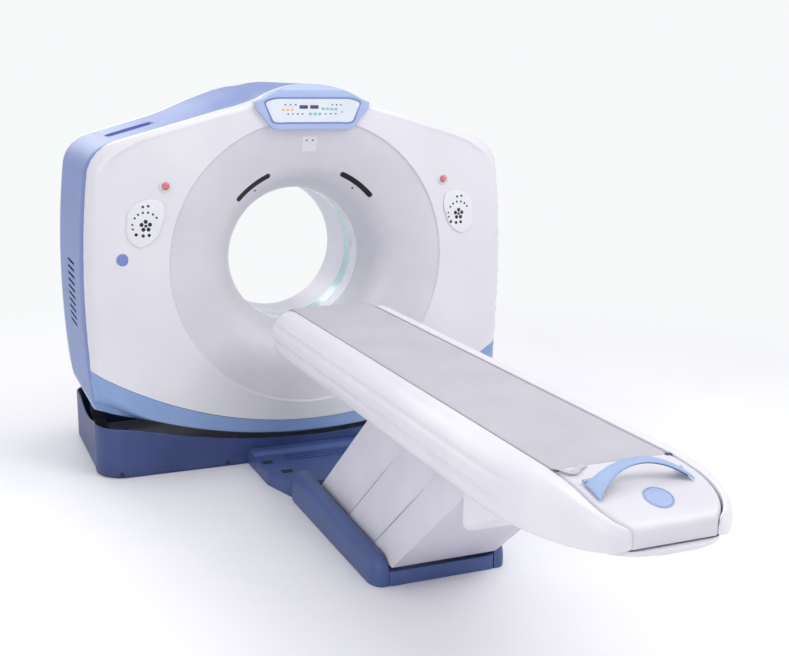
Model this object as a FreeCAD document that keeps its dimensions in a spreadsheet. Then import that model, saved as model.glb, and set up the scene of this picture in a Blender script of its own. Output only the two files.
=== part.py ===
"""A computed tomography scanner: tilting ring gantry and patient table on one floor frame.

Frame: origin on the floor under the scan centre, +Z up, the bore along Y.
The table lies on the -Y side and its cradle slides along +Y into the bore.
Millimetres throughout.
"""
import FreeCAD, Part
import Sketcher
import math
import os

V = FreeCAD.Vector
X_AXIS = V(1, 0, 0)
Y_AXIS = V(0, 1, 0)
Z_AXIS = V(0, 0, 1)

# ---------------------------------------------------------------- driving sizes
SIZES = {
    # gantry, outer form
    "centre_height": 1015, "tunnel_radius": 350, "lip_radius": 382, "dish_radius": 709,
    "gantry_half_width": 1113, "crown_rise": 871, "gantry_front": -452,
    "gantry_rear": 500, "front_bow": 72, "cover_wall": 5, "seam": 0.8,
    "close_gap": 0.3, "window_half": 45, "liner_wall": 6,
    "crown_half_width": 330, "shoulder_fall": 0.285, "shoulder_rise": 775,
    "top_corner_inset": 128, "top_corner_radius": 135, "side_bulge": 36,
    "widest_rise": -175, "side_foot_inset": 35, "side_foot_rise": -680,
    "cover_foot_rise": -867, "front_depth": 112,
    "band_centre_rise": -803, "band_side_rise": -467,
    "lip_depth": 255, "dish_step": 14,
    # top recess, console, face fittings
    "recess_x": 800, "recess_length": 230, "recess_width": 150, "recess_depth": 22,
    "console_foot_rise": 657, "console_head_rise": 849, "console_half_foot": 205,
    "console_half_head": 290, "console_proud": 16, "console_corner": 24,
    "screen_margin": 30, "stop_x": 717, "stop_rise": 397, "stop_radius": 17,
    "stop_travel": 5, "stop_collar": 23, "keypad_x": 838, "keypad_rise": 207,
    "keypad_long": 225, "keypad_wide": 172, "keypad_thick": 7,
    "laser_radius": 462, "laser_width": 26, "laser_half_angle": 8.5,
    "laser_angle": 36, "dot_radius": 9, "speaker_size": 78, "speaker_rise": 582,
    "vent_rise": -315, "vent_pitch": 34, "vent_slot": 14, "vent_length": 230,
    "vent_count": 10,
    # tilt mechanism and base
    "tilt_floor": 36, "barrel_bow": 3080, "base_half_width": 1070, "base_front": -428,
    "base_rear": 470, "base_wall": 8, "lip_centre": 103, "lip_side": 253,
    "floor_plate": 22, "stand_inset": 105, "stand_thick": 60, "stand_neck": 120,
    "stand_clear": 8, "stand_waist": 36,
    "stand_neck_shift": 28, "stand_foot": 520, "pivot_radius": 45, "running_fit": 0.08,
    "anchor_x": 820, "anchor_y": 300, "anchor_hole": 11,
    # rotating side
    "drum_radius": 648, "drum_inner": 392, "drum_front": 95, "drum_thick": 36,
    "ring_outer": 700, "ring_inner": 655, "ring_thick": 46, "frame_thick": 60,
    "frame_outer": 800, "frame_inner": 620, "slip_outer": 600, "slip_inner": 470,
    "tube_radius": 92, "tube_length": 250, "tube_distance": 541,
    "detector_distance": 408, "detector_half_angle": 28, "detector_thick": 70,
    "detector_width": 150, "motor_radius": 70, "motor_length": 170, "motor_distance": 760,
    "pulley_radius": 48, "belt_width": 40, "belt_thick": 5,
    # table, top
    "pad_top": 849, "pad_thick": 14, "cradle_half_width": 203, "cradle_head": -674,
    "cradle_foot": -3130, "cradle_crown": 44, "cradle_wall": 6, "tail_foot": -3442,
    "tail_half_end": 118, "tail_height": 92, "slide_gap": 3.5,
    "table_head": -742, "table_foot": -3470, "cover_half_width": 318,
    "cover_bottom": 662, "cradle_travel": 1700,
    "groove_upper": 790, "groove_lower": 722, "groove_depth": 8, "groove_width": 26,
    "nose_start": -2900, "nose_half_end": 185, "nose_bottom": 700,
    # table, lifting legs
    "leg_length": 750, "leg_angle": 40, "pivot_height": 170, "front_leg_y": -1400,
    "rear_leg_y": -1880, "leg_half_gap": 150, "leg_thick": 24, "leg_width": 70,
    "pin_radius": 14, "stub_radius": 8.4, "stub_height": 105,
    "stub_three_y": -1975, "panel_foot_rise": 21, "panel_one_y": -1465, "panel_two_y": -1824,
    "panel_three_y": -2033, "panel_one_width": 310, "panel_two_width": 150,
    "panel_three_width": 118, "panel_lap": 78, "panel_sheet": 4,
    "panel_outer": 224, "panel_step": 6.5, "panel_foot": 88, "panel_head": 655,
    "plinth_foot": -2010, "plinth_head": -1210, "plinth_height": 62,
    "plinth_half_width": 196, "base_thick": 16,
    "pod_outer": 296, "pod_inner": 228, "pod_head_y": -960, "pod_foot_y": -2005,
    "pod_height_head": 150, "pod_height_foot": 118, 
    "bridge_half_width": 262, "bridge_height": 66, "bridge_left": 340,
    "pedal_wide": 50, "pedal_long": 40, "pedal_gap": 3,
    "handle_half": 180, "handle_rise": 52, "handle_thick": 10, "handle_foot": 100,
    "handle_setback": 120, "handle_pin": 3,
}

os.makedirs("parts", exist_ok=True)
doc = FreeCAD.newDocument("ct_scanner")
sheet = doc.addObject("Spreadsheet::Sheet", "sizes")
sheet.Label = "sizes"
for row, (alias, value) in enumerate(SIZES.items(), start=1):
    sheet.set("A%d" % row, alias)
    sheet.set("B%d" % row, repr(value))
    sheet.setAlias("B%d" % row, alias)
doc.recompute()


class Sizes:
    """Reads a driving size from the sheet by its name."""

    def __getattr__(self, name):
        return float(sheet.get(name))


S = Sizes()
NODES = []


def node(obj, label):
    """Name one finished sub-part; its label is its file's name."""
    obj.Label = label
    NODES.append(obj)
    return obj


def bind(obj, **expressions):
    """Tie properties of an object to cells of the sheet."""
    for prop, text in expressions.items():
        obj.setExpression(prop.replace("__", "."), text)
    return obj


def place(obj, x="0", y="0", z="0"):
    """Tie the place of an object to cells of the sheet."""
    for axis, text in (("x", x), ("y", y), ("z", z)):
        obj.setExpression("Placement.Base." + axis, text)
    return obj


def box(name, size, at):
    """A Part box: three sizes and the place of its low corner, all expressions."""
    obj = doc.addObject("Part::Box", name)
    bind(obj, Length=size[0], Width=size[1], Height=size[2])
    return place(obj, *at)


def cylinder(name, radius, length, at, along=Z_AXIS):
    """A Part cylinder from a place along an axis."""
    obj = doc.addObject("Part::Cylinder", name)
    bind(obj, Radius=radius, Height=length)
    obj.Placement.Rotation = FreeCAD.Rotation(Z_AXIS, along)
    return place(obj, *at)


def boolean(kind, name, parts):
    """A Part boolean of several objects: MultiFuse, Cut or MultiCommon."""
    obj = doc.addObject("Part::" + kind, name)
    if kind == "Cut":
        obj.Base, obj.Tool = parts
    else:
        obj.Shapes = parts
    return obj


def sketch_on(body, plane, name):
    """A sketch on one origin plane of its own body."""
    sketch = body.newObject("Sketcher::SketchObject", name)
    base = [f for f in body.Origin.OriginFeatures if f.Role == plane][0]
    sketch.AttachmentSupport = [(base, "")]
    sketch.MapMode = "FlatFace"
    return sketch


def polygon(sketch, corners):
    """Closed straight outline; every corner is held by two expressions."""
    from_origin = -1
    sheet_value = lambda text: float(sketch.evalExpression(text))
    points = [V(sheet_value(a), sheet_value(b), 0) for a, b in corners]
    count = len(points)
    for i in range(count):
        sketch.addGeometry(Part.LineSegment(points[i], points[(i + 1) % count]), False)
    for i in range(count):
        sketch.addConstraint(Sketcher.Constraint("Coincident", i, 2, (i + 1) % count, 1))
    for i, (a, b) in enumerate(corners):
        for kind, text in (("DistanceX", a), ("DistanceY", b)):
            value = sheet_value(text)
            index = sketch.addConstraint(
                Sketcher.Constraint(kind, from_origin, 1, i, 1, value))
            sketch.setExpression("Constraints[%d]" % index, text)
    return sketch


def padded(name, plane, corners, length, offset="0", both=False):
    """A PartDesign body padded from a polygon; returns the body."""
    body = doc.addObject("PartDesign::Body", name)
    sketch = polygon(sketch_on(body, plane, name + "_outline"), corners)
    sketch.setExpression("AttachmentOffset.Base.z", offset)
    pad = body.newObject("PartDesign::Pad", name + "_pad")
    pad.Profile = sketch
    pad.Midplane = both
    pad.setExpression("Length", length)
    return body


def pocketed(body, plane, corners, length, name, offset="0", both=True):
    """Cut a polygon pocket through a body."""
    sketch = polygon(sketch_on(body, plane, name + "_outline"), corners)
    sketch.setExpression("AttachmentOffset.Base.z", offset)
    pocket = body.newObject("PartDesign::Pocket", name)
    pocket.Profile = sketch
    pocket.Midplane = both
    pocket.setExpression("Length", length)
    return pocket


def filleted(body, radius, name, edges):
    """Round named edges of a body's last feature."""
    fillet = body.newObject("PartDesign::Fillet", name)
    fillet.Base = (body.Group[-2], edges)
    fillet.setExpression("Radius", radius)
    return fillet


def feature(label, shape):
    """A sub-part whose form is worked out in code from the sheet."""
    obj = doc.addObject("Part::Feature", label)
    obj.Shape = shape
    return node(obj, label)


# ---------------------------------------------------------------- shape helpers
def arc(a, b, c):
    """Edge of the arc through three points."""
    return Part.Arc(a, b, c).toShape()


def line(a, b):
    """Straight edge between two points."""
    return Part.LineSegment(a, b).toShape()


def face_of(edges):
    """Planar face inside a closed run of edges."""
    return Part.Face(Part.Wire(Part.__sortEdges__(edges)))


def slab(x0, x1, y0, y1, z0, z1):
    """Box solid between two corners."""
    return Part.makeBox(x1 - x0, y1 - y0, z1 - z0, V(x0, y0, z0))


def rod(radius, length, start, along):
    """Cylinder solid."""
    return Part.makeCylinder(radius, length, start, along)


def mirrored(shape):
    """The same piece for the other side of the scanner."""
    return shape.mirror(V(0, 0, 0), X_AXIS)


def sector_ring(outer, inner, y0, y1, start, sweep, centre):
    """Part of a ring about the bore axis; angles in degrees from +X towards +Z."""
    a = math.radians(start)
    points = [V(centre.x + r * math.cos(a), y0, centre.z + r * math.sin(a))
              for r in (inner, outer)]
    side = Part.Face(Part.makePolygon([points[0], points[1],
                                       points[1] + V(0, y1 - y0, 0),
                                       points[0] + V(0, y1 - y0, 0), points[0]]))
    return side.revolve(centre, V(0, -1, 0), sweep)


CENTRE = V(0, 0, S.centre_height)
FAR = 1500


def level(rise):
    """Height above the floor of a place given by its rise over the scan centre."""
    return S.centre_height + rise


def inboard(inset):
    """Distance from the middle of a place given by its inset from the gantry's side."""
    return S.gantry_half_width - inset


# ---------------------------------------------------------------- gantry covers
def top_height(x):
    """Height of the sloping shoulder at a distance from the middle."""
    return level(S.shoulder_rise) - S.shoulder_fall * (abs(x) - S.crown_half_width)


def front_outline(inset):
    """The tilting body seen from the front: domed crown, sloping shoulders, bulged sides."""
    crown = S.crown_half_width * 0.76
    crown_z = level(S.crown_rise) - crown * crown / (2 * crown_radius())
    bend_x = S.crown_half_width * 1.3
    bend_z = top_height(bend_x)
    corner_x = inboard(S.top_corner_inset) - S.top_corner_radius / 3
    side_x = S.gantry_half_width - S.side_bulge
    right = [
        (V(crown, 0, crown_z), V((crown + bend_x) / 2, 0, (crown_z + bend_z) / 2 - 4),
         V(bend_x, 0, bend_z)),
        (V(bend_x, 0, bend_z), None, V(corner_x, 0, top_height(corner_x))),
        (V(corner_x, 0, top_height(corner_x)),
         V(inboard(S.top_corner_inset) + S.top_corner_radius * 0.41, 0,
           top_height(corner_x) - S.top_corner_radius * 0.47),
         V(side_x, 0, top_height(corner_x) - S.top_corner_radius * 1.08)),
        (V(side_x, 0, top_height(corner_x) - S.top_corner_radius * 1.08),
         V(S.gantry_half_width, 0, level(S.widest_rise)),
         V(inboard(S.side_foot_inset), 0, level(S.side_foot_rise))),
    ]
    flip = lambda p: V(-p.x, p.y, p.z)
    edges = [arc(V(-crown, 0, crown_z), V(0, 0, level(S.crown_rise)), V(crown, 0, crown_z))]
    for a, b, c in right:
        if b is None:
            edges += [line(a, c), line(flip(a), flip(c))]
        else:
            edges += [arc(a, b, c), arc(flip(a), flip(b), flip(c))]
    foot = V(inboard(S.side_foot_inset), 0, level(S.side_foot_rise))
    edges.append(arc(foot, V(0, 0, level(S.cover_foot_rise)), flip(foot)))
    outline = face_of(edges)
    return outline.makeOffset2D(-inset) if inset else outline


def crown_radius():
    """Radius of the dome at the top of the gantry."""
    half = S.crown_half_width * 0.76
    drop = level(S.crown_rise) - level(S.shoulder_rise) - S.shoulder_fall * S.crown_half_width * 0.27
    return half * half / (2 * drop)


def bowed_front(x):
    """Where the front face lies at a distance from the middle, seen from above."""
    return S.gantry_front + S.front_bow * (x / S.gantry_half_width) ** 2


def plan_outline(inset):
    """The tilting body seen from above: bowed front, rounded ends, flat back."""
    corner = S.front_depth
    side = S.gantry_half_width + S.seam
    front_x = side - corner * 0.72
    front_y = bowed_front(front_x)
    middle = V(side - corner * 0.16, front_y + corner * 0.38, 0)
    end = V(side, front_y + corner, 0)
    back = S.gantry_rear
    rear_corner = S.front_depth * 0.8
    rear_turn = rear_corner * 0.29
    flip = lambda p: V(-p.x, p.y, p.z)
    start = V(front_x, front_y, 0)
    edges = [arc(flip(start), V(0, S.gantry_front, 0), start)]
    for turn in (lambda p: p, flip):
        edges += [arc(turn(start), turn(middle), turn(end)),
                  line(turn(end), turn(V(side, back - rear_corner, 0))),
                  arc(turn(V(side, back - rear_corner, 0)),
                      turn(V(side - rear_turn, back - rear_turn, 0)),
                      turn(V(side - rear_corner, back, 0)))]
    edges.append(line(V(side - rear_corner, back, 0), V(rear_corner - side, back, 0)))
    outline = face_of(edges)
    return outline.makeOffset2D(-inset) if inset else outline


def shell_volume(inset):
    """The closed outer form of the tilting body, drawn in by an inset."""
    depth = S.gantry_rear - S.gantry_front + 400
    front = front_outline(inset)
    front.translate(V(0, S.gantry_front - 200, 0))
    plan = plan_outline(inset)
    tall = front.extrude(V(0, depth, 0))
    flat = plan.extrude(V(0, 0, level(S.crown_rise) + 200))
    below = slab(-FAR, FAR, -FAR, FAR, 0, S.centre_height)
    return tall.common(flat).cut(below.cut(swept_barrel(inset)))


def swept_radius(x):
    """Largest distance from the tilt axis that the body may reach beside the middle."""
    drop = S.barrel_bow - math.sqrt(S.barrel_bow ** 2 - x ** 2)
    return S.centre_height - S.tilt_floor - drop


def swept_barrel(inset):
    """Barrel about the tilt axis that the body stays inside, so that it clears the floor."""
    ends = [V(x, 0, level(swept_radius(x) - inset)) for x in (-FAR, 0, FAR)]
    feet = [V(x, 0, S.centre_height) for x in (-FAR, FAR)]
    section = face_of([arc(*ends), line(ends[2], feet[1]), line(feet[1], feet[0]),
                       line(feet[0], ends[0])])
    return section.revolve(CENTRE, X_AXIS, 360)


def dish_volume(wall):
    """The funnel in front of the tunnel, grown by a wall, as one turned solid."""
    lip_y = S.gantry_front + S.lip_depth + S.dish_step
    mouth = S.dish_radius + wall
    slope = (S.dish_radius - S.lip_radius) / (S.lip_depth)
    ahead = 120
    centre = CENTRE
    section = [
        V(0, S.gantry_front - ahead, 0),
        V(mouth + slope * ahead, S.gantry_front - ahead, 0),
        V(mouth, S.gantry_front + wall * 0.5, 0),
        V(S.lip_radius + wall, lip_y, 0),
        V(S.tunnel_radius + wall * 1.2, lip_y + 36, 0),
        V(0, lip_y + 36, 0),
    ]
    points = [V(p.x, p.y, 0) + centre for p in section]
    points.insert(4, (points[3] + points[4]) * 0.5 + V(-6, -5, 0))
    points.insert(3, (points[2] + points[3]) * 0.5 + V(-6, 10, 0))
    return Part.Face(Part.makePolygon(points + points[:1])).revolve(centre, Y_AXIS, 360)


def back_dish_volume(wall):
    """The shorter flare at the back of the tunnel."""
    depth = S.lip_depth * 0.6
    lip_y = S.gantry_rear - depth
    section = [V(0, lip_y - 30, 0), V(S.tunnel_radius + wall * 1.2, lip_y - 30, 0),
               V(S.lip_radius + wall, lip_y, 0),
               V(S.lip_radius + depth + wall, S.gantry_rear, 0),
               V(S.lip_radius + 2 * depth + wall, S.gantry_rear + depth, 0),
               V(0, S.gantry_rear + depth, 0)]
    points = [p + CENTRE for p in section]
    return Part.Face(Part.makePolygon(points + points[:1])).revolve(CENTRE, Y_AXIS, 360)


OUTER = shell_volume(0)
INNER = shell_volume(S.cover_wall)
FRONT_CUT = bowed_front(S.gantry_half_width) + S.front_depth * 0.36
SMILE_LOW = level(S.band_centre_rise)
SMILE_HIGH = level(S.band_side_rise)


def below_smile(gap):
    """Everything under the curved border between the white panel and the blue band."""
    side = V(S.gantry_half_width, 0, SMILE_HIGH + gap)
    left = V(-S.gantry_half_width, 0, SMILE_HIGH + gap)
    low = V(0, 0, SMILE_LOW + gap)
    edges = [arc(left, low, side), line(side, V(FAR, 0, SMILE_HIGH + gap)),
             line(V(FAR, 0, SMILE_HIGH + gap), V(FAR, 0, -100)),
             line(V(FAR, 0, -100), V(-FAR, 0, -100)),
             line(V(-FAR, 0, -100), V(-FAR, 0, SMILE_HIGH + gap)),
             line(V(-FAR, 0, SMILE_HIGH + gap), left)]
    outline = face_of(edges)
    outline.translate(V(0, -FAR, 0))
    return outline.extrude(V(0, 2 * FAR, 0))


def shell_piece(region):
    """One cover: the thin wall of the body inside a region, dishes included."""
    inside = INNER.cut(dish_volume(S.cover_wall)).cut(back_dish_volume(S.cover_wall))
    wall = OUTER.common(region).cut(inside)
    return wall.cut(dish_volume(0)).cut(back_dish_volume(0))


def console_outline(grow):
    """Front view of the console: narrow rounded foot, wide head open upwards."""
    foot = S.console_half_foot + grow
    head = S.console_half_head + grow
    low = level(S.console_foot_rise) - grow
    high = top_height(head) - S.console_corner
    turn = S.console_corner
    rise = (head - foot) / (high - low)
    near = V(foot + rise * turn, 0, low + turn)
    middle = V(foot - turn * 0.12, 0, low + turn * 0.22)
    under = V(foot - turn, 0, low)
    flip = lambda p: V(-p.x, p.y, p.z)
    tip = V(head, 0, high)
    edges = [line(flip(under), under), line(V(head, 0, FAR * 2), V(-head, 0, FAR * 2))]
    for side in (lambda p: p, flip):
        edges += [arc(side(under), side(middle), side(near)), line(side(near), side(tip)),
                  line(side(tip), side(V(head, 0, FAR * 2)))]
    return face_of(edges)


def console_block(grow):
    """The space that the console takes out of the front cover."""
    outline = console_outline(grow)
    outline.translate(V(0, -FAR, 0))
    return outline.extrude(V(0, 2 * FAR, 0))


def laser_zone(side, shrink):
    """Curved slot above the bore where a positioning light shines out."""
    half = S.laser_width / 2 - shrink
    start = 90 - side * S.laser_angle - S.laser_half_angle + shrink / 8
    return sector_ring(S.laser_radius + half, S.laser_radius - half, S.gantry_front - 100,
                       S.gantry_front + S.lip_depth, start,
                       2 * (S.laser_half_angle - shrink / 8), CENTRE)


def stop_place(side):
    """Where an emergency stop button meets the front cover."""
    return V(side * S.stop_x, bowed_front(S.stop_x), level(S.stop_rise))


def stop_hole(side):
    """Round hole for the stem of an emergency stop button."""
    at = stop_place(side) - V(0, S.front_depth, 0)
    return rod(S.stop_radius + S.close_gap, 2 * S.front_depth, at, Y_AXIS)


def build_covers():
    """Front panel, blue band, side, top and rear covers of the tilting body."""
    gap = S.seam
    reach = S.dish_radius + 3 * S.cover_wall
    funnel = rod(reach, FAR, CENTRE - V(0, FAR, 0), Y_AXIS)
    front_zone = slab(-FAR, FAR, -FAR, FRONT_CUT, 0, 2 * FAR).fuse(funnel)
    front = shell_piece(front_zone)
    white = front.cut(below_smile(gap / 2)).cut(console_block(gap))
    blue = front.common(below_smile(-gap / 2))
    openings = [laser_zone(side, 0) for side in (-1, 1)]
    openings += [stop_hole(side) for side in (-1, 1)]
    for opening in openings:
        white = white.cut(opening)
    feature("front_cover", largest(white))
    feature("lower_band", largest(blue.cut(stand_openings())))
    rear_cut = S.gantry_rear - S.front_depth * 0.9
    flare = rod(S.lip_radius + S.lip_depth, FAR, CENTRE, Y_AXIS)
    rear_zone = slab(-FAR, FAR, rear_cut, FAR, 0, 2 * FAR).fuse(flare)
    feature("rear_cover", largest(shell_piece(rear_zone).cut(stand_openings())))
    middle = shell_piece(slab(-FAR, FAR, FRONT_CUT + gap, rear_cut - gap, 0, 2 * FAR))
    bottom = level(S.side_foot_rise)
    split_x = inboard(S.top_corner_inset) - S.top_corner_radius * 0.4
    over = level(S.widest_rise)
    side_zone = slab(split_x, FAR, -FAR, FAR, bottom + 8, 2 * FAR)
    right = largest(middle.common(side_zone))
    feature("right_side_cover", vented(right, 1))
    feature("left_side_cover", vented(mirrored(right), -1))
    top_zone = slab(-split_x + gap, split_x - gap, -FAR, FAR, over, 2 * FAR)
    feature("top_cover", recessed(largest(middle.common(top_zone))))
    pan_zone = slab(-split_x + gap, split_x - gap, -FAR, FAR, 0, over)
    feature("bottom_cover", largest(middle.common(pan_zone)))


def stand_openings():
    """Openings in the bottom walls where the two stands come up at full tilt."""
    reach = S.stand_thick / 2 + S.stand_clear
    front = bowed_front(inboard(S.stand_inset)) + 2 * S.cover_wall + 1
    rear = S.gantry_rear - 2 * S.cover_wall - 2
    top = level(S.band_side_rise)
    middle = inboard(S.stand_inset)
    blocks = [slab(side * middle - reach, side * middle + reach, front, rear, 0, top)
              for side in (-1, 1)]
    bottom = swept_radius(middle + reach) - 6 * S.cover_wall
    return Part.makeCompound(blocks).cut(rod(bottom, 2 * FAR, CENTRE - V(FAR, 0, 0), X_AXIS))


def largest(shape):
    """The biggest solid of a cut, without slivers."""
    return max(shape.Solids, key=lambda s: s.Volume)


def vented(cover, side):
    """Cut the row of cooling slots into a side cover."""
    tools = []
    for i in range(int(S.vent_count)):
        z = level(S.vent_rise) + i * S.vent_pitch
        start = -S.vent_length / 2
        tools.append(slab(-FAR, FAR, start, start + S.vent_length, z, z + S.vent_slot))
    keep = slab(0, FAR, -FAR, FAR, 0, FAR) if side > 0 else slab(-FAR, 0, -FAR, FAR, 0, FAR)
    return cover.cut(Part.makeCompound(tools).common(keep))


def recessed(cover):
    """Sink the two long lifting recesses into the top cover."""
    wall = S.cover_wall
    half_l = S.recess_length / 2
    half_w = S.recess_width / 2
    for side in (-1, 1):
        x = side * S.recess_x
        low = top_height(S.recess_x + half_l) - S.recess_depth
        outer = slab(x - half_l - wall, x + half_l + wall, -half_w - wall, half_w + wall,
                     low - wall, top_height(S.recess_x))
        inner = slab(x - half_l, x + half_l, -half_w, half_w, low, 2 * FAR)
        cover = cover.fuse(outer.common(OUTER)).cut(inner)
    return largest(cover.removeSplitter())


build_covers()


# ---------------------------------------------------------------- fittings on the front
def on_front(outline, proud):
    """A thin plate that follows the bowed front and stands proud of it."""
    outline.translate(V(0, -FAR, 0))
    block = outline.extrude(V(0, FAR, 0))
    ahead = OUTER.copy()
    ahead.translate(V(0, -proud, 0))
    return largest(block.common(ahead).cut(OUTER))


def keypad_outline(side, scale):
    """Rounded teardrop of the control keypad: broad above, narrow below."""
    long_half = S.keypad_long / 2 * scale
    wide_half = S.keypad_wide / 2 * scale
    at = V(side * S.keypad_x * 0.972, 0, level(S.keypad_rise) + 18)
    shape = [(-0.98, 0.02), (-0.80, 0.62), (-0.25, 0.90), (0.35, 1.00), (0.95, 0.82),
             (1.05, 0.50), (0.88, -0.05), (0.42, -0.72), (-0.30, -1.02), (-0.86, -0.72)]
    spots = [V(at.x - side * a * wide_half, 0, at.z + b * long_half) for a, b in shape]
    count = len(spots)
    edges = [arc(spots[i], spots[i + 1], spots[(i + 2) % count])
             for i in range(0, count, 2)]
    return face_of(edges)


def stop_button(at):
    """Turned push button: chamfered head outside, thinner stem inside the cover."""
    head_y = -S.stop_travel * 3
    neck_y = S.cover_wall + S.stop_travel
    stem = S.stop_radius * 0.62
    rim = S.stop_radius * 0.86
    section = [V(0, head_y, 0), V(rim, head_y, 0), V(S.stop_radius, head_y + 3, 0),
               V(S.stop_radius, neck_y, 0), V(stem, neck_y + 2, 0),
               V(stem, neck_y + 12, 0), V(0, neck_y + 12, 0)]
    points = [p + at for p in section]
    return Part.Face(Part.makePolygon(points + points[:1])).revolve(at, Y_AXIS, 360)


def build_front_fittings():
    """Console, keypads, stop buttons, speaker plate and positioning light windows."""
    proud = S.console_proud
    head_y = S.gantry_front - proud
    block = console_outline(0)
    block.translate(V(0, head_y, 0))
    back = S.gantry_front + S.front_depth * 0.55
    block = block.extrude(V(0, back - head_y, 0))
    crown = front_outline(0)
    crown.translate(V(0, head_y - 1, 0))
    housing = block.common(crown.extrude(V(0, S.front_depth * 2, 0)))
    brow = Part.makeBox(FAR, FAR, FAR, V(-FAR / 2, 0, 0))
    brow.rotate(V(0, 0, 0), X_AXIS, 42)
    brow.translate(V(0, head_y, level(S.console_head_rise) - 6))
    housing = housing.cut(brow.cut(slab(-FAR, FAR, back, FAR, 0, 3 * FAR)))
    margin = S.screen_margin
    low = level(S.console_foot_rise) + margin
    high = level(S.console_head_rise) - margin * 2
    half_low = S.console_half_foot - margin * 0.9
    half_high = S.console_half_head - margin * 2.3
    corners = [V(-half_low, 0, low), V(half_low, 0, low), V(half_high, 0, high),
               V(-half_high, 0, high)]
    screen = Part.Face(Part.makePolygon(corners + corners[:1]))
    recess_depth = 7
    screen.translate(V(0, head_y - 1, 0))
    housing = largest(housing.cut(screen.extrude(V(0, recess_depth + 1, 0))))
    housing = largest(housing.cut(INNER.cut(slab(-FAR, FAR, -FAR, head_y + 40, 0, 2 * FAR))))
    feature("console_housing", housing)
    plate = screen.makeOffset2D(-S.close_gap)
    plate.translate(V(0, 1 + recess_depth - 4, 0))
    feature("console_display", plate.extrude(V(0, 4, 0)))

    wall = dish_volume(S.cover_wall).cut(dish_volume(0))
    windows = []
    keypads = []
    collars = []
    for side, name in ((-1, "left"), (1, "right")):
        windows.append(largest(wall.common(laser_zone(side, S.close_gap))))
        keypads.append(on_front(keypad_outline(side, 1), S.keypad_thick))
        disc = Part.Face(Part.Wire(Part.makeCircle(S.stop_collar, stop_place(side), Y_AXIS)))
        disc.translate(V(0, -stop_place(side).y, 0))
        collar = on_front(disc, S.stop_travel + 1).cut(stop_hole(side))
        collars.append(largest(collar))
        feature(name + "_stop_button", stop_button(stop_place(side)))
    feature("laser_windows", Part.makeCompound(windows))
    feature("keypads", Part.makeCompound(keypads))
    feature("stop_collars", Part.makeCompound(collars))

    half = S.speaker_size / 2
    corners = [V(-half, 0, level(S.speaker_rise) - half), V(half, 0, level(S.speaker_rise) - half),
               V(half, 0, level(S.speaker_rise) + half), V(-half, 0, level(S.speaker_rise) + half)]
    plate = Part.Face(Part.makePolygon(corners + corners[:1]))
    plate.translate(V(0, -FAR, 0))
    air = dish_volume(0)
    air.translate(V(0, -S.close_gap, 0))
    lifted = air.copy()
    lifted.translate(V(0, -3, 0))
    plate = largest(plate.extrude(V(0, FAR, 0)).common(air).cut(lifted))
    holes = [rod(S.dot_radius * 0.5, FAR, V(x * half, -FAR, level(S.speaker_rise) + half * 0.55),
                 Y_AXIS) for x in (-0.4, 0.4)]
    feature("intercom_plate", largest(plate.cut(Part.makeCompound(holes))))


build_front_fittings()


# ---------------------------------------------------------------- bore tunnel
def tunnel_ring(label, outer_text, start_text, length_text):
    """One turned ring of the tunnel lining."""
    at = ("0", start_text, "sizes.centre_height")
    outside = cylinder(label + "_outside", outer_text, length_text, at, Y_AXIS)
    inside = cylinder(label + "_inside", "sizes.tunnel_radius", length_text, at, Y_AXIS)
    return node(boolean("Cut", label + "_ring", (outside, inside)), label)


LINER_START = "(sizes.gantry_front + sizes.lip_depth + sizes.dish_step + 36 + sizes.close_gap)"
REAR_END = "(sizes.gantry_rear - sizes.lip_depth * 0.6 - 30 - sizes.close_gap)"
tunnel_ring("front_bore_liner", "sizes.tunnel_radius + sizes.liner_wall", LINER_START,
            "-sizes.window_half - sizes.close_gap - " + LINER_START)
tunnel_ring("scan_window", "sizes.tunnel_radius + sizes.liner_wall / 2",
            "-sizes.window_half", "2 * sizes.window_half")
tunnel_ring("rear_bore_liner", "sizes.tunnel_radius + sizes.liner_wall",
            "sizes.window_half + sizes.close_gap",
            REAR_END + " - sizes.window_half - sizes.close_gap")


# ---------------------------------------------------------------- tilting frame and bearing
def frame_back():
    """Where the fixed side of the ring frame starts along the bore axis."""
    return S.drum_front + S.drum_thick + S.ring_thick


def motor_centre():
    """Centre of the drive motor, below and to the right of the bore."""
    reach = S.motor_distance * math.sqrt(0.5)
    return V(reach, 0, S.centre_height - reach)


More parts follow.
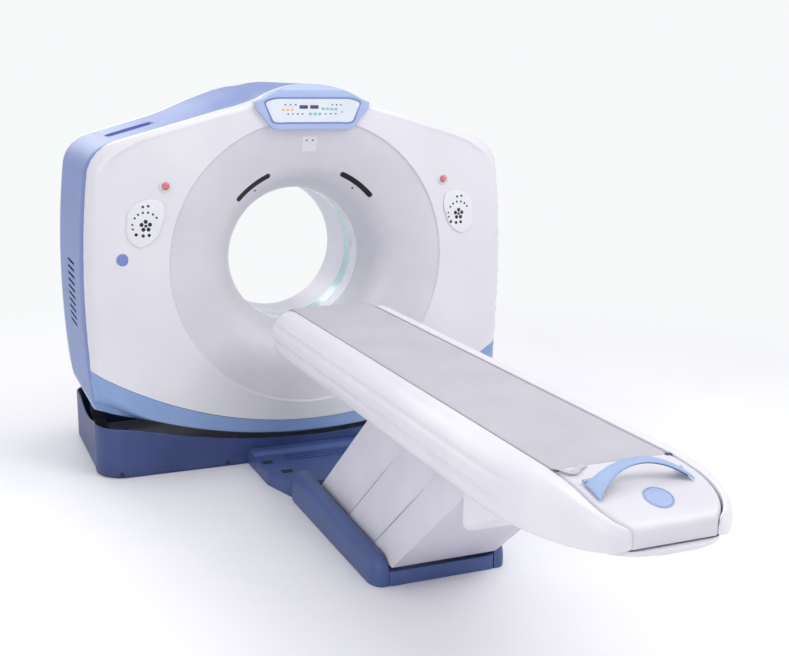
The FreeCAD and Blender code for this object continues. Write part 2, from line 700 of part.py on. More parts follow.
def build_tilt_frame():
    """Ring casting with two side arms, pivot bosses and cover brackets."""
    y0 = frame_back()
    y1 = y0 + S.frame_thick
    ring = rod(S.frame_outer, S.frame_thick, V(0, y0, S.centre_height), Y_AXIS)
    frame = ring
    boss_face = inboard(S.stand_inset) - S.stand_thick / 2 - 10
    arm_half = S.pivot_radius * 2.3
    low = S.centre_height - arm_half
    high = S.centre_height + arm_half
    for side in (-1, 1):
        x0, x1 = sorted((side * (S.frame_outer - 60), side * boss_face))
        frame = frame.fuse(slab(x0, x1, y0, y1, low, high))
        x0, x1 = sorted((side * (boss_face - 100), side * boss_face))
        frame = frame.fuse(slab(x0, x1, 0, y1, low, high))
        start = V(x0, 0, S.centre_height)
        frame = frame.fuse(rod(arm_half, x1 - x0, start, X_AXIS))
        frame = frame.cut(rod(S.pivot_radius + S.running_fit, x1 - x0 + 2,
                              start - V(1, 0, 0), X_AXIS))
    frame = frame.cut(rod(S.frame_inner, S.frame_thick + 2,
                          V(0, y0 - 1, S.centre_height), Y_AXIS))
    reach = (S.frame_outer + S.frame_inner) / 2
    for degrees in (25, 155, 205, 335):
        a = math.radians(degrees)
        at = V(reach * math.cos(a), y1 - 1, S.centre_height + reach * math.sin(a))
        end = S.gantry_rear - S.cover_wall - S.close_gap
        frame = frame.fuse(rod(22, end - at.y, at, Y_AXIS))
    for degrees in range(0, 360, 60):
        a = math.radians(degrees)
        at = V(reach * math.cos(a), y0 - 1, S.centre_height + reach * math.sin(a))
        frame = frame.cut(rod(34, S.frame_thick + 2, at, Y_AXIS))
    shaft = rod(S.pulley_radius * 0.25 + S.close_gap, FAR, motor_centre(), Y_AXIS)
    feature("tilt_frame", largest(frame.cut(shaft)))


build_tilt_frame()


def ring_between(label, outer_text, inner_text, start_text, length_text):
    """A flat turned ring about the bore axis, bound to the sheet."""
    at = ("0", start_text, "sizes.centre_height")
    outside = cylinder(label + "_outside", outer_text, length_text, at, Y_AXIS)
    inside = cylinder(label + "_inside", inner_text, length_text, at, Y_AXIS)
    return boolean("Cut", label + "_ring", (outside, inside))


node(ring_between("bearing_outer_race", "sizes.ring_outer", "sizes.ring_inner",
                  "sizes.drum_front + sizes.drum_thick + 4", "sizes.ring_thick - 4"),
     "bearing_outer_race")


# ---------------------------------------------------------------- rotating side
def build_rotor():
    """Drum, slip ring, X-ray tube, collimator, detector arc, generators and balance."""
    disc = ring_between("drum_disc", "sizes.drum_radius", "sizes.drum_inner",
                        "sizes.drum_front", "sizes.drum_thick")
    hub = ring_between("drum_hub", "sizes.ring_inner - sizes.close_gap",
                       "sizes.slip_outer + 10", "sizes.drum_front + sizes.drum_thick",
                       "sizes.ring_thick - sizes.close_gap * 4")
    node(boolean("MultiFuse", "drum", [disc, hub]), "rotor_drum")
    node(ring_between("slip_ring_disc", "sizes.slip_outer", "sizes.slip_inner",
                      "sizes.drum_front + sizes.drum_thick", "sizes.ring_thick * 0.6"),
         "slip_ring")
    front = S.drum_front
    half_w = S.detector_width / 2
    tube = rod(S.tube_radius, S.tube_length - 40,
               V(0, front - S.tube_length, S.centre_height + S.tube_distance), Y_AXIS)
    saddle = slab(-S.tube_radius * 0.8, S.tube_radius * 0.8, front - 40, front,
                  S.centre_height + S.tube_distance - S.tube_radius * 0.9,
                  S.centre_height + S.tube_distance + S.tube_radius * 0.9)
    band_y = front - S.tube_length * 0.55
    tube = tube.fuse(rod(S.tube_radius + 7, 16, V(0, band_y, tube_height()), Y_AXIS))
    feature("xray_tube", tube.fuse(saddle).removeSplitter())
    collimator = Part.makeWedge(-95, -half_w * 0.6, 0, 0, -55, 95, front, 62, 62, 55)
    collimator.translate(V(0, 0, tube_height() - S.tube_radius - 7 - 62 - 1))
    feature("collimator", collimator)
    inner = S.detector_distance
    start = 270 - S.detector_half_angle
    arc_part = sector_ring(inner + S.detector_thick, inner, front - S.detector_width, front,
                           start, 2 * S.detector_half_angle, CENTRE)
    fins = []
    for i in range(9):
        fins.append(sector_ring(inner + S.detector_thick + 22, inner + S.detector_thick - 4,
                                front - S.detector_width + 16, front - 16,
                                start + 3 + i * (2 * S.detector_half_angle - 8) / 8.0, 2,
                                CENTRE))
    feature("detector_array", arc_part.multiFuse(fins).removeSplitter())
    for name, side in (("left", -1), ("right", 1)):
        x0, x1 = sorted((side * 425, side * 618))
        case = slab(x0, x1, front - 190, front, S.centre_height - 130,
                    S.centre_height + 130)
        label = "power_supply" if side < 0 else "heat_exchanger"
        feature(label, case.makeFillet(12, [e for e in case.Edges
                                            if abs(e.BoundBox.YLength - 190) < 1]))
    for name, degrees in (("a", 222), ("b", 318)):
        a = math.radians(degrees)
        at = V(548 * math.cos(a), front - 60, S.centre_height + 548 * math.sin(a))
        block = slab(-48, 48, 0, 60, -38, 38)
        block.rotate(V(0, 0, 0), Y_AXIS, -degrees)
        block.translate(at)
        WEIGHTS.append(block)
    feature("balance_weights", Part.makeCompound(WEIGHTS))


def tube_height():
    """Height of the X-ray tube's own axis with the tube at the top."""
    return S.centre_height + S.tube_distance


WEIGHTS = []
build_rotor()


def build_drive():
    """Belt, motor and the pulley that turns the drum."""
    at = motor_centre()
    y0 = S.drum_front + (S.drum_thick - S.belt_width * 0.7) / 2
    wide = S.belt_width * 0.7
    loops = []
    distance = S.motor_distance
    for grow in (0, S.belt_thick):
        big = S.drum_radius + S.close_gap + grow
        small = S.pulley_radius + S.close_gap + grow
        lean = math.acos((big - small) / distance)
        points = []
        for radius, shift in ((big, 0), (small, distance)):
            points.append([V(shift + radius * math.cos(t), 0, radius * math.sin(t))
                           for t in (lean, -lean)])
        mid = V(distance + small, 0, 0)
        far = V(-big, 0, 0)
        loops.append(face_of([arc(points[0][0], far, points[0][1]),
                              line(points[0][0], points[1][0]),
                              arc(points[1][0], mid, points[1][1]),
                              line(points[0][1], points[1][1])]))
    belt = loops[1].cut(loops[0])
    belt.rotate(V(0, 0, 0), Y_AXIS, 45)
    belt.translate(V(0, y0, S.centre_height))
    feature("drive_belt", largest(belt.extrude(V(0, wide, 0))))
    shaft_end = frame_back() + S.frame_thick
    pulley = rod(S.pulley_radius, wide + 4, V(at.x, y0 - 2, at.z), Y_AXIS)
    shaft = rod(S.pulley_radius * 0.25, shaft_end - y0 - S.close_gap,
                V(at.x, y0, at.z), Y_AXIS)
    feature("drive_pulley", pulley.fuse(shaft).removeSplitter())
    body = rod(S.motor_radius, S.motor_length, V(at.x, shaft_end, at.z), Y_AXIS)
    terminal_box = slab(at.x - 40, at.x + 40, shaft_end + 40, shaft_end + 110,
                        at.z, at.z + S.motor_radius + 26)
    feature("drive_motor", body.fuse(terminal_box).removeSplitter())


build_drive()


# ---------------------------------------------------------------- floor stand of the gantry
def build_floor_frame():
    """Floor plate with four anchor holes and two pivot stands with their pins."""
    half = "(sizes.base_half_width - sizes.base_wall * 4)"
    front = "(sizes.base_front + sizes.base_wall * 2)"
    rear = "(sizes.base_rear - sizes.base_wall * 2)"
    cut = "sizes.front_depth"
    corners = [("-%s + %s" % (half, cut), front), ("%s - %s" % (half, cut), front),
               (half, "%s + %s" % (front, cut)), (half, "%s - %s" % (rear, cut)),
               ("%s - %s" % (half, cut), rear), ("-%s + %s" % (half, cut), rear),
               ("-" + half, "%s - %s" % (rear, cut)), ("-" + half, "%s + %s" % (front, cut))]
    plate = padded("floor_plate_body", "XY_Plane", corners, "sizes.floor_plate")
    sketch = sketch_on(plate, "XY_Plane", "anchor_holes")
    for i, (sx, sy) in enumerate(((-1, -1), (1, -1), (1, 1), (-1, 1))):
        centre = V(sx * S.anchor_x, sy * S.anchor_y, 0)
        sketch.addGeometry(Part.Circle(centre, Z_AXIS, S.anchor_hole), False)
        for kind, value, text in (("DistanceX", centre.x, "%d * sizes.anchor_x" % sx),
                                  ("DistanceY", centre.y, "%d * sizes.anchor_y" % sy)):
            index = sketch.addConstraint(Sketcher.Constraint(kind, -1, 1, i, 3, value))
            sketch.setExpression("Constraints[%d]" % index, text)
        index = sketch.addConstraint(Sketcher.Constraint("Radius", i, S.anchor_hole))
        sketch.setExpression("Constraints[%d]" % index, "sizes.anchor_hole")
    holes = plate.newObject("PartDesign::Pocket", "anchor_pockets")
    holes.Profile = sketch
    holes.Midplane = True
    holes.setExpression("Length", "sizes.floor_plate * 3")
    node(plate, "floor_plate")
    for name, side in (("left", -1), ("right", 1)):
        build_stand(name, side)
    for side in (-1, 1):
        inner = inboard(S.stand_inset) - S.stand_thick / 2 - 10 - 90
        length = inboard(S.stand_inset) + S.stand_thick / 2 - inner
        start = side * inner if side > 0 else -inboard(S.stand_inset) - S.stand_thick / 2
        PINS.append(rod(S.pivot_radius, length, V(start, 0, S.centre_height), X_AXIS))
    feature("pivot_pins", Part.makeCompound(PINS))


PINS = []


def build_stand(name, side):
    """Upright that carries one pivot: broad foot, slim neck inside the side cover."""
    neck_front = "(sizes.stand_neck_shift - sizes.stand_neck / 2)"
    neck_rear = "(sizes.stand_neck_shift + sizes.stand_neck / 2)"
    hub = "sizes.pivot_radius * 2.1"
    corners = [
        ("-sizes.stand_foot / 2", "sizes.floor_plate"),
        ("sizes.stand_foot / 2", "sizes.floor_plate"),
        ("sizes.stand_foot / 2", "sizes.floor_plate + 30"),
        (neck_rear, "sizes.centre_height * 0.180"),
        (neck_rear, "sizes.centre_height * 0.45"),
        (hub, "sizes.centre_height - sizes.pivot_radius * 3"),
        (hub, "sizes.centre_height + sizes.pivot_radius"),
        ("sizes.pivot_radius", "sizes.centre_height + %s" % hub),
        ("-sizes.pivot_radius", "sizes.centre_height + %s" % hub),
        ("-" + hub, "sizes.centre_height + sizes.pivot_radius"),
        ("-" + hub, "sizes.centre_height - sizes.pivot_radius * 3"),
        (neck_front, "sizes.centre_height * 0.34"),
        ("sizes.stand_waist", "sizes.centre_height * 0.23"),
        ("sizes.stand_waist", "sizes.centre_height * 0.188"),
        (neck_front, "sizes.centre_height * 0.180"),
        ("-sizes.stand_foot / 2", "sizes.floor_plate + 30"),
    ]
    offset = "%d * (sizes.gantry_half_width - sizes.stand_inset) - sizes.stand_thick / 2" % side
    stand = padded(name + "_stand_body", "YZ_Plane", corners, "sizes.stand_thick", offset)
    body = node(stand, name + "_stand")
    sketch = sketch_on(body, "YZ_Plane", name + "_pin_hole")
    sketch.setExpression("AttachmentOffset.Base.z", offset)
    sketch.addGeometry(Part.Circle(V(0, S.centre_height, 0), Z_AXIS, S.pivot_radius), False)
    for kind, args, text in (("DistanceY", (-1, 1, 0, 3, S.centre_height),
                              "sizes.centre_height"),
                             ("Radius", (0, S.pivot_radius), "sizes.pivot_radius")):
        index = sketch.addConstraint(Sketcher.Constraint(kind, *args))
        sketch.setExpression("Constraints[%d]" % index, text)
    sketch.addConstraint(Sketcher.Constraint("PointOnObject", 0, 3, -2))
    hole = body.newObject("PartDesign::Pocket", name + "_pin_pocket")
    hole.Profile = sketch
    hole.Midplane = True
    hole.setExpression("Length", "sizes.stand_thick * 3")


def skirt_outline(grow):
    """Plan of the navy base moulding: straight front, cut front corners, round ends."""
    half = S.base_half_width + grow
    front = S.base_front - grow
    rear = S.base_rear + grow
    cut = S.front_depth * 1.1
    flip = lambda p: V(-p.x, p.y, p.z)
    a = V(half - cut * 0.9, front, 0)
    b = V(half - cut * 0.22, front + cut * 0.42, 0)
    c = V(half, front + cut * 1.5, 0)
    d = V(half, rear - cut, 0)
    e = V(half - cut * 0.29, rear - cut * 0.29, 0)
    f = V(half - cut, rear, 0)
    edges = [line(flip(a), a), line(f, flip(f))]
    for side in (lambda p: p, flip):
        edges += [arc(side(a), side(b), side(c)), line(side(c), side(d)),
                  arc(side(d), side(e), side(f))]
    return face_of(edges)


def build_base_skirt():
    """Navy moulding round the floor plate; its lip sweeps up towards both ends."""
    high = S.lip_side + 40
    outer = skirt_outline(0).extrude(V(0, 0, high))
    inner = skirt_outline(-S.base_wall).extrude(V(0, 0, high))
    reach = S.gantry_half_width * 1.1
    rise = (S.lip_side - S.lip_centre) * (reach / S.base_half_width) ** 2
    left = V(-reach, 0, S.lip_centre + rise)
    right = V(reach, 0, S.lip_centre + rise)
    below = face_of([arc(left, V(0, 0, S.lip_centre), right),
                     line(right, V(reach, 0, -S.floor_plate)),
                     line(V(reach, 0, -S.floor_plate), V(-reach, 0, -S.floor_plate)),
                     line(V(-reach, 0, -S.floor_plate), left)])
    below.translate(V(0, -FAR, 0))
    skirt = outer.cut(inner).common(below.extrude(V(0, 2 * FAR, 0)))
    scoop = swept_radius(S.base_half_width) + S.stand_clear
    skirt = largest(skirt.cut(rod(scoop, 2 * FAR, CENTRE - V(FAR, 0, 0), X_AXIS)))
    for x in (-0.78, -0.26, 0.26, 0.78):
        at = x * S.base_half_width
        for y0, y1 in ((S.base_front + S.base_wall / 2, S.base_front + S.base_wall * 6),
                       (S.base_rear - S.base_wall * 6, S.base_rear - S.base_wall / 2)):
            skirt = skirt.fuse(slab(at - 30, at + 30, y0, y1, S.floor_plate,
                                    S.floor_plate + S.base_wall))
    feature("base_skirt", skirt)


build_floor_frame()
build_base_skirt()


# ---------------------------------------------------------------- table, lifting linkage
def link_point(pivot_y, along, across, x=0.0):
    """A point on a lifting link: along it from its floor pivot, across it towards the top."""
    a = math.radians(S.leg_angle)
    return V(x, pivot_y - along * math.cos(a) + across * math.sin(a),
             S.pivot_height + along * math.sin(a) + across * math.cos(a))


def along_at(height, across):
    """How far along a link a given height is reached, at some distance across it."""
    a = math.radians(S.leg_angle)
    return (height - S.pivot_height - across * math.cos(a)) / math.sin(a)


def prism(points, x0, x1):
    """Solid between two planes across the table, from its side view."""
    flat = [V(x0, p.y, p.z) for p in points]
    return Part.Face(Part.makePolygon(flat + flat[:1])).extrude(V(x1 - x0, 0, 0))


def top_pivot(pivot_y):
    """Upper pivot of a link that starts at a floor pivot."""
    return link_point(pivot_y, S.leg_length, 0)


def build_leg(label, pivot_y, free_end):
    """H-shaped lifting leg: two rounded arms, bored ends and two cross tubes."""
    half = S.leg_width / 2
    solid = None
    upper = S.pin_radius + (4 if free_end else S.running_fit)
    for side in (-1, 1):
        x0 = side * S.leg_half_gap - S.leg_thick / 2
        points = [link_point(pivot_y, u, w) for u, w in
                  ((0, -half), (S.leg_length, -half), (S.leg_length, half), (0, half))]
        arm = prism(points, x0, x0 + S.leg_thick)
        for along, bore in ((0, S.pin_radius + S.running_fit), (S.leg_length, upper)):
            start = link_point(pivot_y, along, 0, x0)
            arm = arm.fuse(rod(half, S.leg_thick, start, X_AXIS))
            arm = arm.cut(rod(bore, S.leg_thick + 2, start - V(1, 0, 0), X_AXIS))
        slot = [link_point(pivot_y, S.leg_length * u, w) for u, w in
                ((0.30, -half * 0.45), (0.62, -half * 0.45), (0.62, half * 0.45),
                 (0.30, half * 0.45))]
        arm = arm.cut(prism(slot, x0 - 1, x0 + S.leg_thick + 1))
        solid = arm if solid is None else solid.fuse(arm)
    for share in (0.22, 0.72):
        start = link_point(pivot_y, S.leg_length * share, 0, -S.leg_half_gap)
        solid = solid.fuse(rod(half * 0.55, 2 * S.leg_half_gap, start, X_AXIS))
    feature(label, largest(solid.removeSplitter()))


def panel_face(layer):
    """Outer face of a side panel; the front panels lie innermost."""
    return S.panel_outer - layer * S.panel_step


def panel_pair(pivot_y, layer, foot_edge, head_edge, bore_y):
    """One pair of thin side panels that swing with the legs, bored for their stub pins."""
    points = [link_point(pivot_y, along_at(z, w), w) for w, z in foot_edge + head_edge]
    outer = panel_face(layer)
    bore = S.stub_radius + S.running_fit
    sheets = []
    for x0 in (outer - S.panel_sheet, -outer):
        sheet_part = prism(points, x0, x0 + S.panel_sheet)
        hole = rod(bore, S.panel_sheet + 2, V(x0 - 1, bore_y, S.stub_height), X_AXIS)
        sheets.append(sheet_part.cut(hole))
    return sheets


def build_leg_panels():
    """White side panels of the lift: front, middle and rear, shingled across the table."""
    foot = S.panel_foot
    rise = S.panel_foot_rise
    head = S.panel_head
    half = S.panel_one_width / 2
    sheets = panel_pair(S.panel_one_y, 2, [(-half, foot), (0, foot), (half, foot + rise)],
                        [(half, head), (-half, head)], S.panel_one_y)
    feature("front_leg_panels", Part.makeCompound(sheets))
    half = S.panel_two_width / 2
    high = half + S.panel_lap * 0.9
    low = -half - S.panel_lap * 0.2
    sheets = panel_pair(S.panel_two_y, 1, [(low, foot), (half / 4, foot), (high, foot + rise)],
                        [(high, head), (low, head)], S.panel_two_y)
    feature("middle_leg_panels", Part.makeCompound(sheets))
    half = S.panel_three_width / 2
    high = half + S.panel_lap * 0.3
    foot -= 4
    head *= 0.92
    foot_edge = [(-half, foot), (half / 2, foot), (half, foot + rise * 0.7),
                 (high, foot + rise * 1.9)]
    sheets = panel_pair(S.panel_three_y, 0, foot_edge, [(high, head), (-half, head)],
                        S.stub_three_y)
    end = [(along_at(foot, -half), -half), (along_at(head, -half), -half),
           (along_at(head, -half), S.panel_sheet - half),
           (along_at(foot, -half), S.panel_sheet - half)]
    reach = S.panel_outer - S.panel_sheet / 2
    cross = prism([link_point(S.panel_three_y, u, w) for u, w in end], -reach, reach)
    feature("rear_leg_panel", sheets[0].fuse(sheets[1]).fuse(cross).removeSplitter())


def build_table_base():
    """Floor plate of the table with its pivot cheeks, pins, plinth bar and bridge."""
    half = S.plinth_half_width
    inside = S.leg_half_gap + S.leg_thick / 2 + 2
    base = slab(-half, half, S.plinth_foot + 60, S.plinth_head, 0, S.base_thick)
    cheek_h = S.pivot_height + 36
    for side in (-1, 1):
        x0, x1 = sorted((side * inside, side * (inside + 12)))
        for y in (S.front_leg_y, S.rear_leg_y):
            low = S.base_thick
            points = [V(0, y - 64, low), V(0, y + 64, low), V(0, y + 34, cheek_h),
                      V(0, y - 34, cheek_h)]
            base = base.fuse(prism(points, x0, x1))
    for y in (S.front_leg_y, S.rear_leg_y):
        base = base.cut(rod(S.pin_radius, 2 * FAR, V(-FAR, y, S.pivot_height), X_AXIS))
    for x in (-S.plinth_half_width * 0.66, S.plinth_half_width * 0.66):
        for y in (S.plinth_head - 60, S.plinth_foot + 130):
            base = base.cut(rod(S.anchor_hole, 2 * FAR, V(x, y, -FAR), Z_AXIS))
    feature("table_base", largest(base))
    pins = [rod(S.pin_radius, 2 * (inside + 12), V(-inside - 12, y, S.pivot_height), X_AXIS)
            for y in (S.front_leg_y, S.rear_leg_y)]
    feature("floor_pivot_pins", Part.makeCompound(pins))
    height = S.plinth_height
    edge = S.plinth_foot
    reach = S.pod_inner - S.close_gap
    bar = slab(-reach, reach, edge, edge + 60 - S.close_gap, 0, height)
    bar = bar.makeFillet(14, [e for e in bar.Edges
                              if e.BoundBox.ZLength > height - 1 and e.BoundBox.YMax < edge + 1])
    feature("foot_plinth", bar)


def build_pods():
    """Navy mouldings along both sides of the table's foot, with panel pivots inside."""
    high = S.pod_height_head
    low = S.pod_height_foot
    wide = S.pod_outer - S.pod_inner
    section = [(0, 0), (wide, 0), (wide, high * 0.42), (wide * 0.84, high * 0.80),
               (wide * 0.45, high), (0, high)]
    profile = [(S.pod_head_y, 0), (S.pod_head_y, high * 0.7), (S.pod_head_y - 24, high * 0.9),
               (S.pod_head_y - 60, high), (S.pod_foot_y + 70, low), (S.pod_foot_y + 20, low * 0.86),
               (S.pod_foot_y, low * 0.55), (S.pod_foot_y, 0)]
    side_view = prism([V(0, y, z) for y, z in profile], -FAR, FAR)
    for side, name in ((-1, "left"), (1, "right")):
        points = [V(side * (S.pod_inner + x), S.pod_foot_y, z) for x, z in section]
        long = Part.Face(Part.makePolygon(points + points[:1]))
        pod = long.extrude(V(0, S.pod_head_y - S.pod_foot_y, 0)).common(side_view)
        for layer, y in ((2, S.panel_one_y), (1, S.panel_two_y), (0, S.stub_three_y)):
            tip = panel_face(layer) - S.panel_sheet - 0.5
            x0, x1 = sorted((side * tip, side * (S.pod_inner + 12)))
            stub = rod(S.stub_radius, x1 - x0, V(x0, y, S.stub_height), X_AXIS)
            x0, x1 = sorted((side * S.pod_inner, side * (S.pod_inner + 12)))
            web = slab(x0, x1, y - 22, y + 22, low * 0.3, S.stub_height + S.stub_radius + 4)
            pod = pod.fuse(web).fuse(stub)
        feature(name + "_pod", largest(pod))


PEDALS = (("raise_pedal", -300, -626), ("lower_pedal", -248, -782))


def pedal_pivot(x, y):
    """Middle of a foot pedal's hinge line, near its edge towards the gantry."""
    return V(x, y + S.pedal_long / 2 - 6, S.bridge_height - 9)


def build_bridge():
    """Low ridged floor cover between the gantry's base and the table, with its pedals."""
    half = S.bridge_half_width
    wide = S.bridge_left
    start = S.base_front - S.close_gap
    end = S.pod_head_y + S.close_gap
    height = S.bridge_height
    side = [V(0, start, 0), V(0, start, height * 1.25), V(0, start - 70, height * 1.25),
            V(0, start - 95, height), V(0, end + 40, height), V(0, end, height * 0.5),
            V(0, end, 0)]
    cover = prism(side, -wide, half)
    turn = wide - half
    plan = Part.Face(Part.Wire([
        line(V(-wide, start, 0), V(half, start, 0)), line(V(half, start, 0), V(half, end, 0)),
        line(V(half, end, 0), V(-half - 20, end, 0)),
        line(V(-half - 20, end, 0), V(-wide, start - 330, 0)),
        line(V(-wide, start - 330, 0), V(-wide, start, 0))]))
    cover = cover.common(plan.extrude(V(0, 0, 3 * height)))
    for i in range(3):
        y = start - 128 - i * 34
        cover = cover.cut(slab(-half + 60, half - 40, y, y + 12, height - 5, height + 9))
    corners = [e for e in cover.Edges if e.BoundBox.ZLength > height * 0.4
               and e.BoundBox.YLength < 1 and e.BoundBox.XLength < 1 and e.BoundBox.YMax < start - 20]
    cover = cover.makeFillet(min(12, turn * 0.4), corners)
    for label, x, y in PEDALS:
        pivot = pedal_pivot(x, y)
        wide_half = S.pedal_wide / 2
        gap = S.pedal_gap
        pocket = slab(x - wide_half - gap, x + wide_half + gap, y - S.pedal_long / 2 - gap,
                      y + S.pedal_long / 2 + gap, height - 30, height + 30)
        bore = rod(3 + S.running_fit, S.pedal_wide + 12, pivot - V(wide_half + 6, 0, 0), X_AXIS)
        cover = cover.cut(pocket).cut(bore)
        pad = slab(x - wide_half, x + wide_half, y - S.pedal_long / 2, y + S.pedal_long / 2,
                   height - 14, height - 3)
        pin = rod(3, S.pedal_wide + 10, pivot - V(wide_half + 5, 0, 0), X_AXIS)
        feature(label, pad.fuse(pin).removeSplitter())
    feature("floor_bridge", largest(cover))


for leg_label, leg_y, loose in (("front_leg", S.front_leg_y, False),
                                ("rear_leg", S.rear_leg_y, True)):
    build_leg(leg_label, leg_y, loose)
build_leg_panels()
build_table_base()
build_pods()
build_bridge()


# ---------------------------------------------------------------- table, top
def cradle_low(x):
    """Height of the cradle's crowned underside at a distance from the middle."""
    low = S.pad_top - S.pad_thick - S.cradle_wall - S.cradle_crown
    radius = (S.cradle_half_width ** 2 + S.cradle_crown ** 2) / (2 * S.cradle_crown)
    return low + radius - math.sqrt(radius ** 2 - x ** 2)


def side_section(y, half, bottom, top_edge, reach):
    """Section of a side cover: rim, rounded shoulder, two long grooves, tucked foot."""
    rim = S.cradle_half_width + S.slide_gap
    wide = half - rim
    high = top_edge
    fall = high - bottom
    deep = S.groove_depth * reach
    half_g = S.groove_width / 2 * fall / (S.pad_top - S.cover_bottom)
    up = bottom + fall * (S.groove_upper - S.cover_bottom) / (S.pad_top - S.cover_bottom)
    down = bottom + fall * (S.groove_lower - S.cover_bottom) / (S.pad_top - S.cover_bottom)
    outline = [
        (rim, high), (rim + wide * 0.26, high), (rim + wide * 0.72, high - fall * 0.16),
        (rim + wide * 0.93, up + half_g), (rim + wide * 0.96 - deep, up),
        (half, up - half_g), (half, down + half_g), (half - deep, down),
        (half, down - half_g * 0.8), (half - wide * 0.14, bottom),
        (rim + wide * 0.40, bottom), (rim + wide * 0.72, bottom + fall * 0.30),
        (rim + wide * 0.72, high - fall * 0.34), (rim + wide * 0.22, high - fall * 0.13),
        (rim, high - fall * 0.13),
    ]
    return Part.makePolygon([V(x, y, z) for x, z in outline + outline[:1]])


def build_side_covers():
    """Long side covers that run from the head end round the foot end."""
    half = S.cover_half_width
    low = S.cover_bottom
    high = S.pad_top
    foot = S.table_foot
    head = S.table_head
    stations = [
        (head, half * 0.915, low + 34, high - 6, 0.2),
        (head - 40, half * 0.975, low + 8, high, 1.0),
        (head - 160, half, low, high, 1.0),
        (S.nose_start, half, low, high, 1.0),
    ]
    nose = [(0.35, 0.970, 0.10, 0.06, 0.5), (0.62, 0.900, 0.30, 0.20, 0.1),
            (0.82, 0.800, 0.62, 0.45, 0.0), (0.94, 0.700, 0.88, 0.70, 0.0)]
    for along, wide, lift, drop, reach in nose:
        y = S.nose_start + (foot - S.nose_start) * along
        stations.append((y, half * wide, low + lift * (S.nose_bottom - low),
                         high - drop * S.tail_height * 0.6, reach))
    body = Part.makeLoft([side_section(*s) for s in stations[:4]], True, True)
    nose_part = Part.makeLoft([side_section(*s) for s in stations[3:]], True, True)
    right = body.fuse(nose_part)
    return right


def build_table_top():
    """Carriage frame, side covers, nose, under housing and slide strips."""
    right = build_side_covers()
    feature("right_table_cover", right)
    feature("left_table_cover", mirrored(right))
    rail_in = S.leg_half_gap + S.leg_thick / 2 + 8
    rail_out = rail_in + 25
    low = S.panel_head - 15
    high = low + 60
    foot = S.cradle_foot + 100
    head = S.table_head - 60
    frame = None
    for side in (-1, 1):
        x0, x1 = sorted((side * rail_in, side * rail_out))
        rail = slab(x0, x1, foot, head, low, high)
        frame = rail if frame is None else frame.fuse(rail)
    rim = S.cradle_half_width + S.slide_gap
    reach = rim + (S.cover_half_width - rim) * 0.40 - S.close_gap
    for y in (head - 160, head - 380, foot + 140):
        frame = frame.fuse(slab(-rail_in - 1, rail_in + 1, y, y + 50, low + 6, high - 6))
        frame = frame.fuse(slab(-reach, reach, y + 8, y + 42, low + 24, high - 12))
    for y in (S.front_leg_y, S.rear_leg_y):
        at = top_pivot(y)
        frame = frame.cut(rod(S.pin_radius, 2 * FAR, V(-FAR, at.y, at.z), X_AXIS))
    feature("carriage_frame", largest(frame.removeSplitter()))
    pins = []
    for y in (S.front_leg_y, S.rear_leg_y):
        at = top_pivot(y)
        pins.append(rod(S.pin_radius, 2 * rail_out, V(-rail_out, at.y, at.z), X_AXIS))
    feature("carriage_pivot_pins", Part.makeCompound(pins))
    strips = []
    truck_stop = S.cradle_foot + 400 + S.cradle_travel + 10
    for side in (-1, 1):
        x_in = S.cradle_half_width * 0.5
        x0, x1 = sorted((side * x_in, side * (x_in + 20)))
        top = cradle_low(x_in) - S.close_gap
        strips.append(slab(x0, x1, truck_stop, head - 20, high - 6, top))
    feature("slide_strips", Part.makeCompound(strips))
    build_housing()


def build_housing():
    """Boat-shaped housing under the foot end and the nose that closes it."""
    wide = S.cover_half_width * 0.80
    low = S.cover_bottom
    front = top_pivot(S.panel_three_y).y - S.panel_three_width * 0.45
    side = [V(0, front, low + 4), V(0, front, low - 165), V(0, front - 30, low - 177),
            V(0, front - 140, low - 148), V(0, front - 300, low - 78),
            V(0, front - 430, low - 8), V(0, S.nose_start - 330, low + 12),
            V(0, S.table_foot + 60, S.nose_bottom), V(0, S.table_foot, S.nose_bottom + 8),
            V(0, S.table_foot, S.nose_bottom + 14), V(0, S.nose_start - 330, low + 34)]
    body = prism(side, -wide, wide)
    nose = [V(-wide, front + 1, 0), V(wide, front + 1, 0), V(wide, S.nose_start - 260, 0),
            V(S.nose_half_end, S.table_foot + 40, 0), V(S.tail_half_end * 0.8, S.table_foot, 0),
            V(-S.tail_half_end * 0.8, S.table_foot, 0), V(-S.nose_half_end, S.table_foot + 40, 0),
            V(-wide, S.nose_start - 260, 0)]
    plan = Part.Face(Part.makePolygon(nose + nose[:1])).extrude(V(0, 0, 2 * FAR))
    rail = S.leg_half_gap + S.leg_thick / 2 + 8 + 25
    room = slab(-rail - 1, rail + 1, S.cradle_foot + 100 - S.close_gap, FAR,
                S.panel_head - 15 - S.close_gap, FAR)
    around = [obj.Shape for obj in NODES
              if obj.Label in ("left_table_cover", "right_table_cover", "carriage_frame")]
    housing = body.common(plan).cut(room)
    for shape in around:
        housing = housing.cut(shape)
    feature("foot_housing", largest(housing))


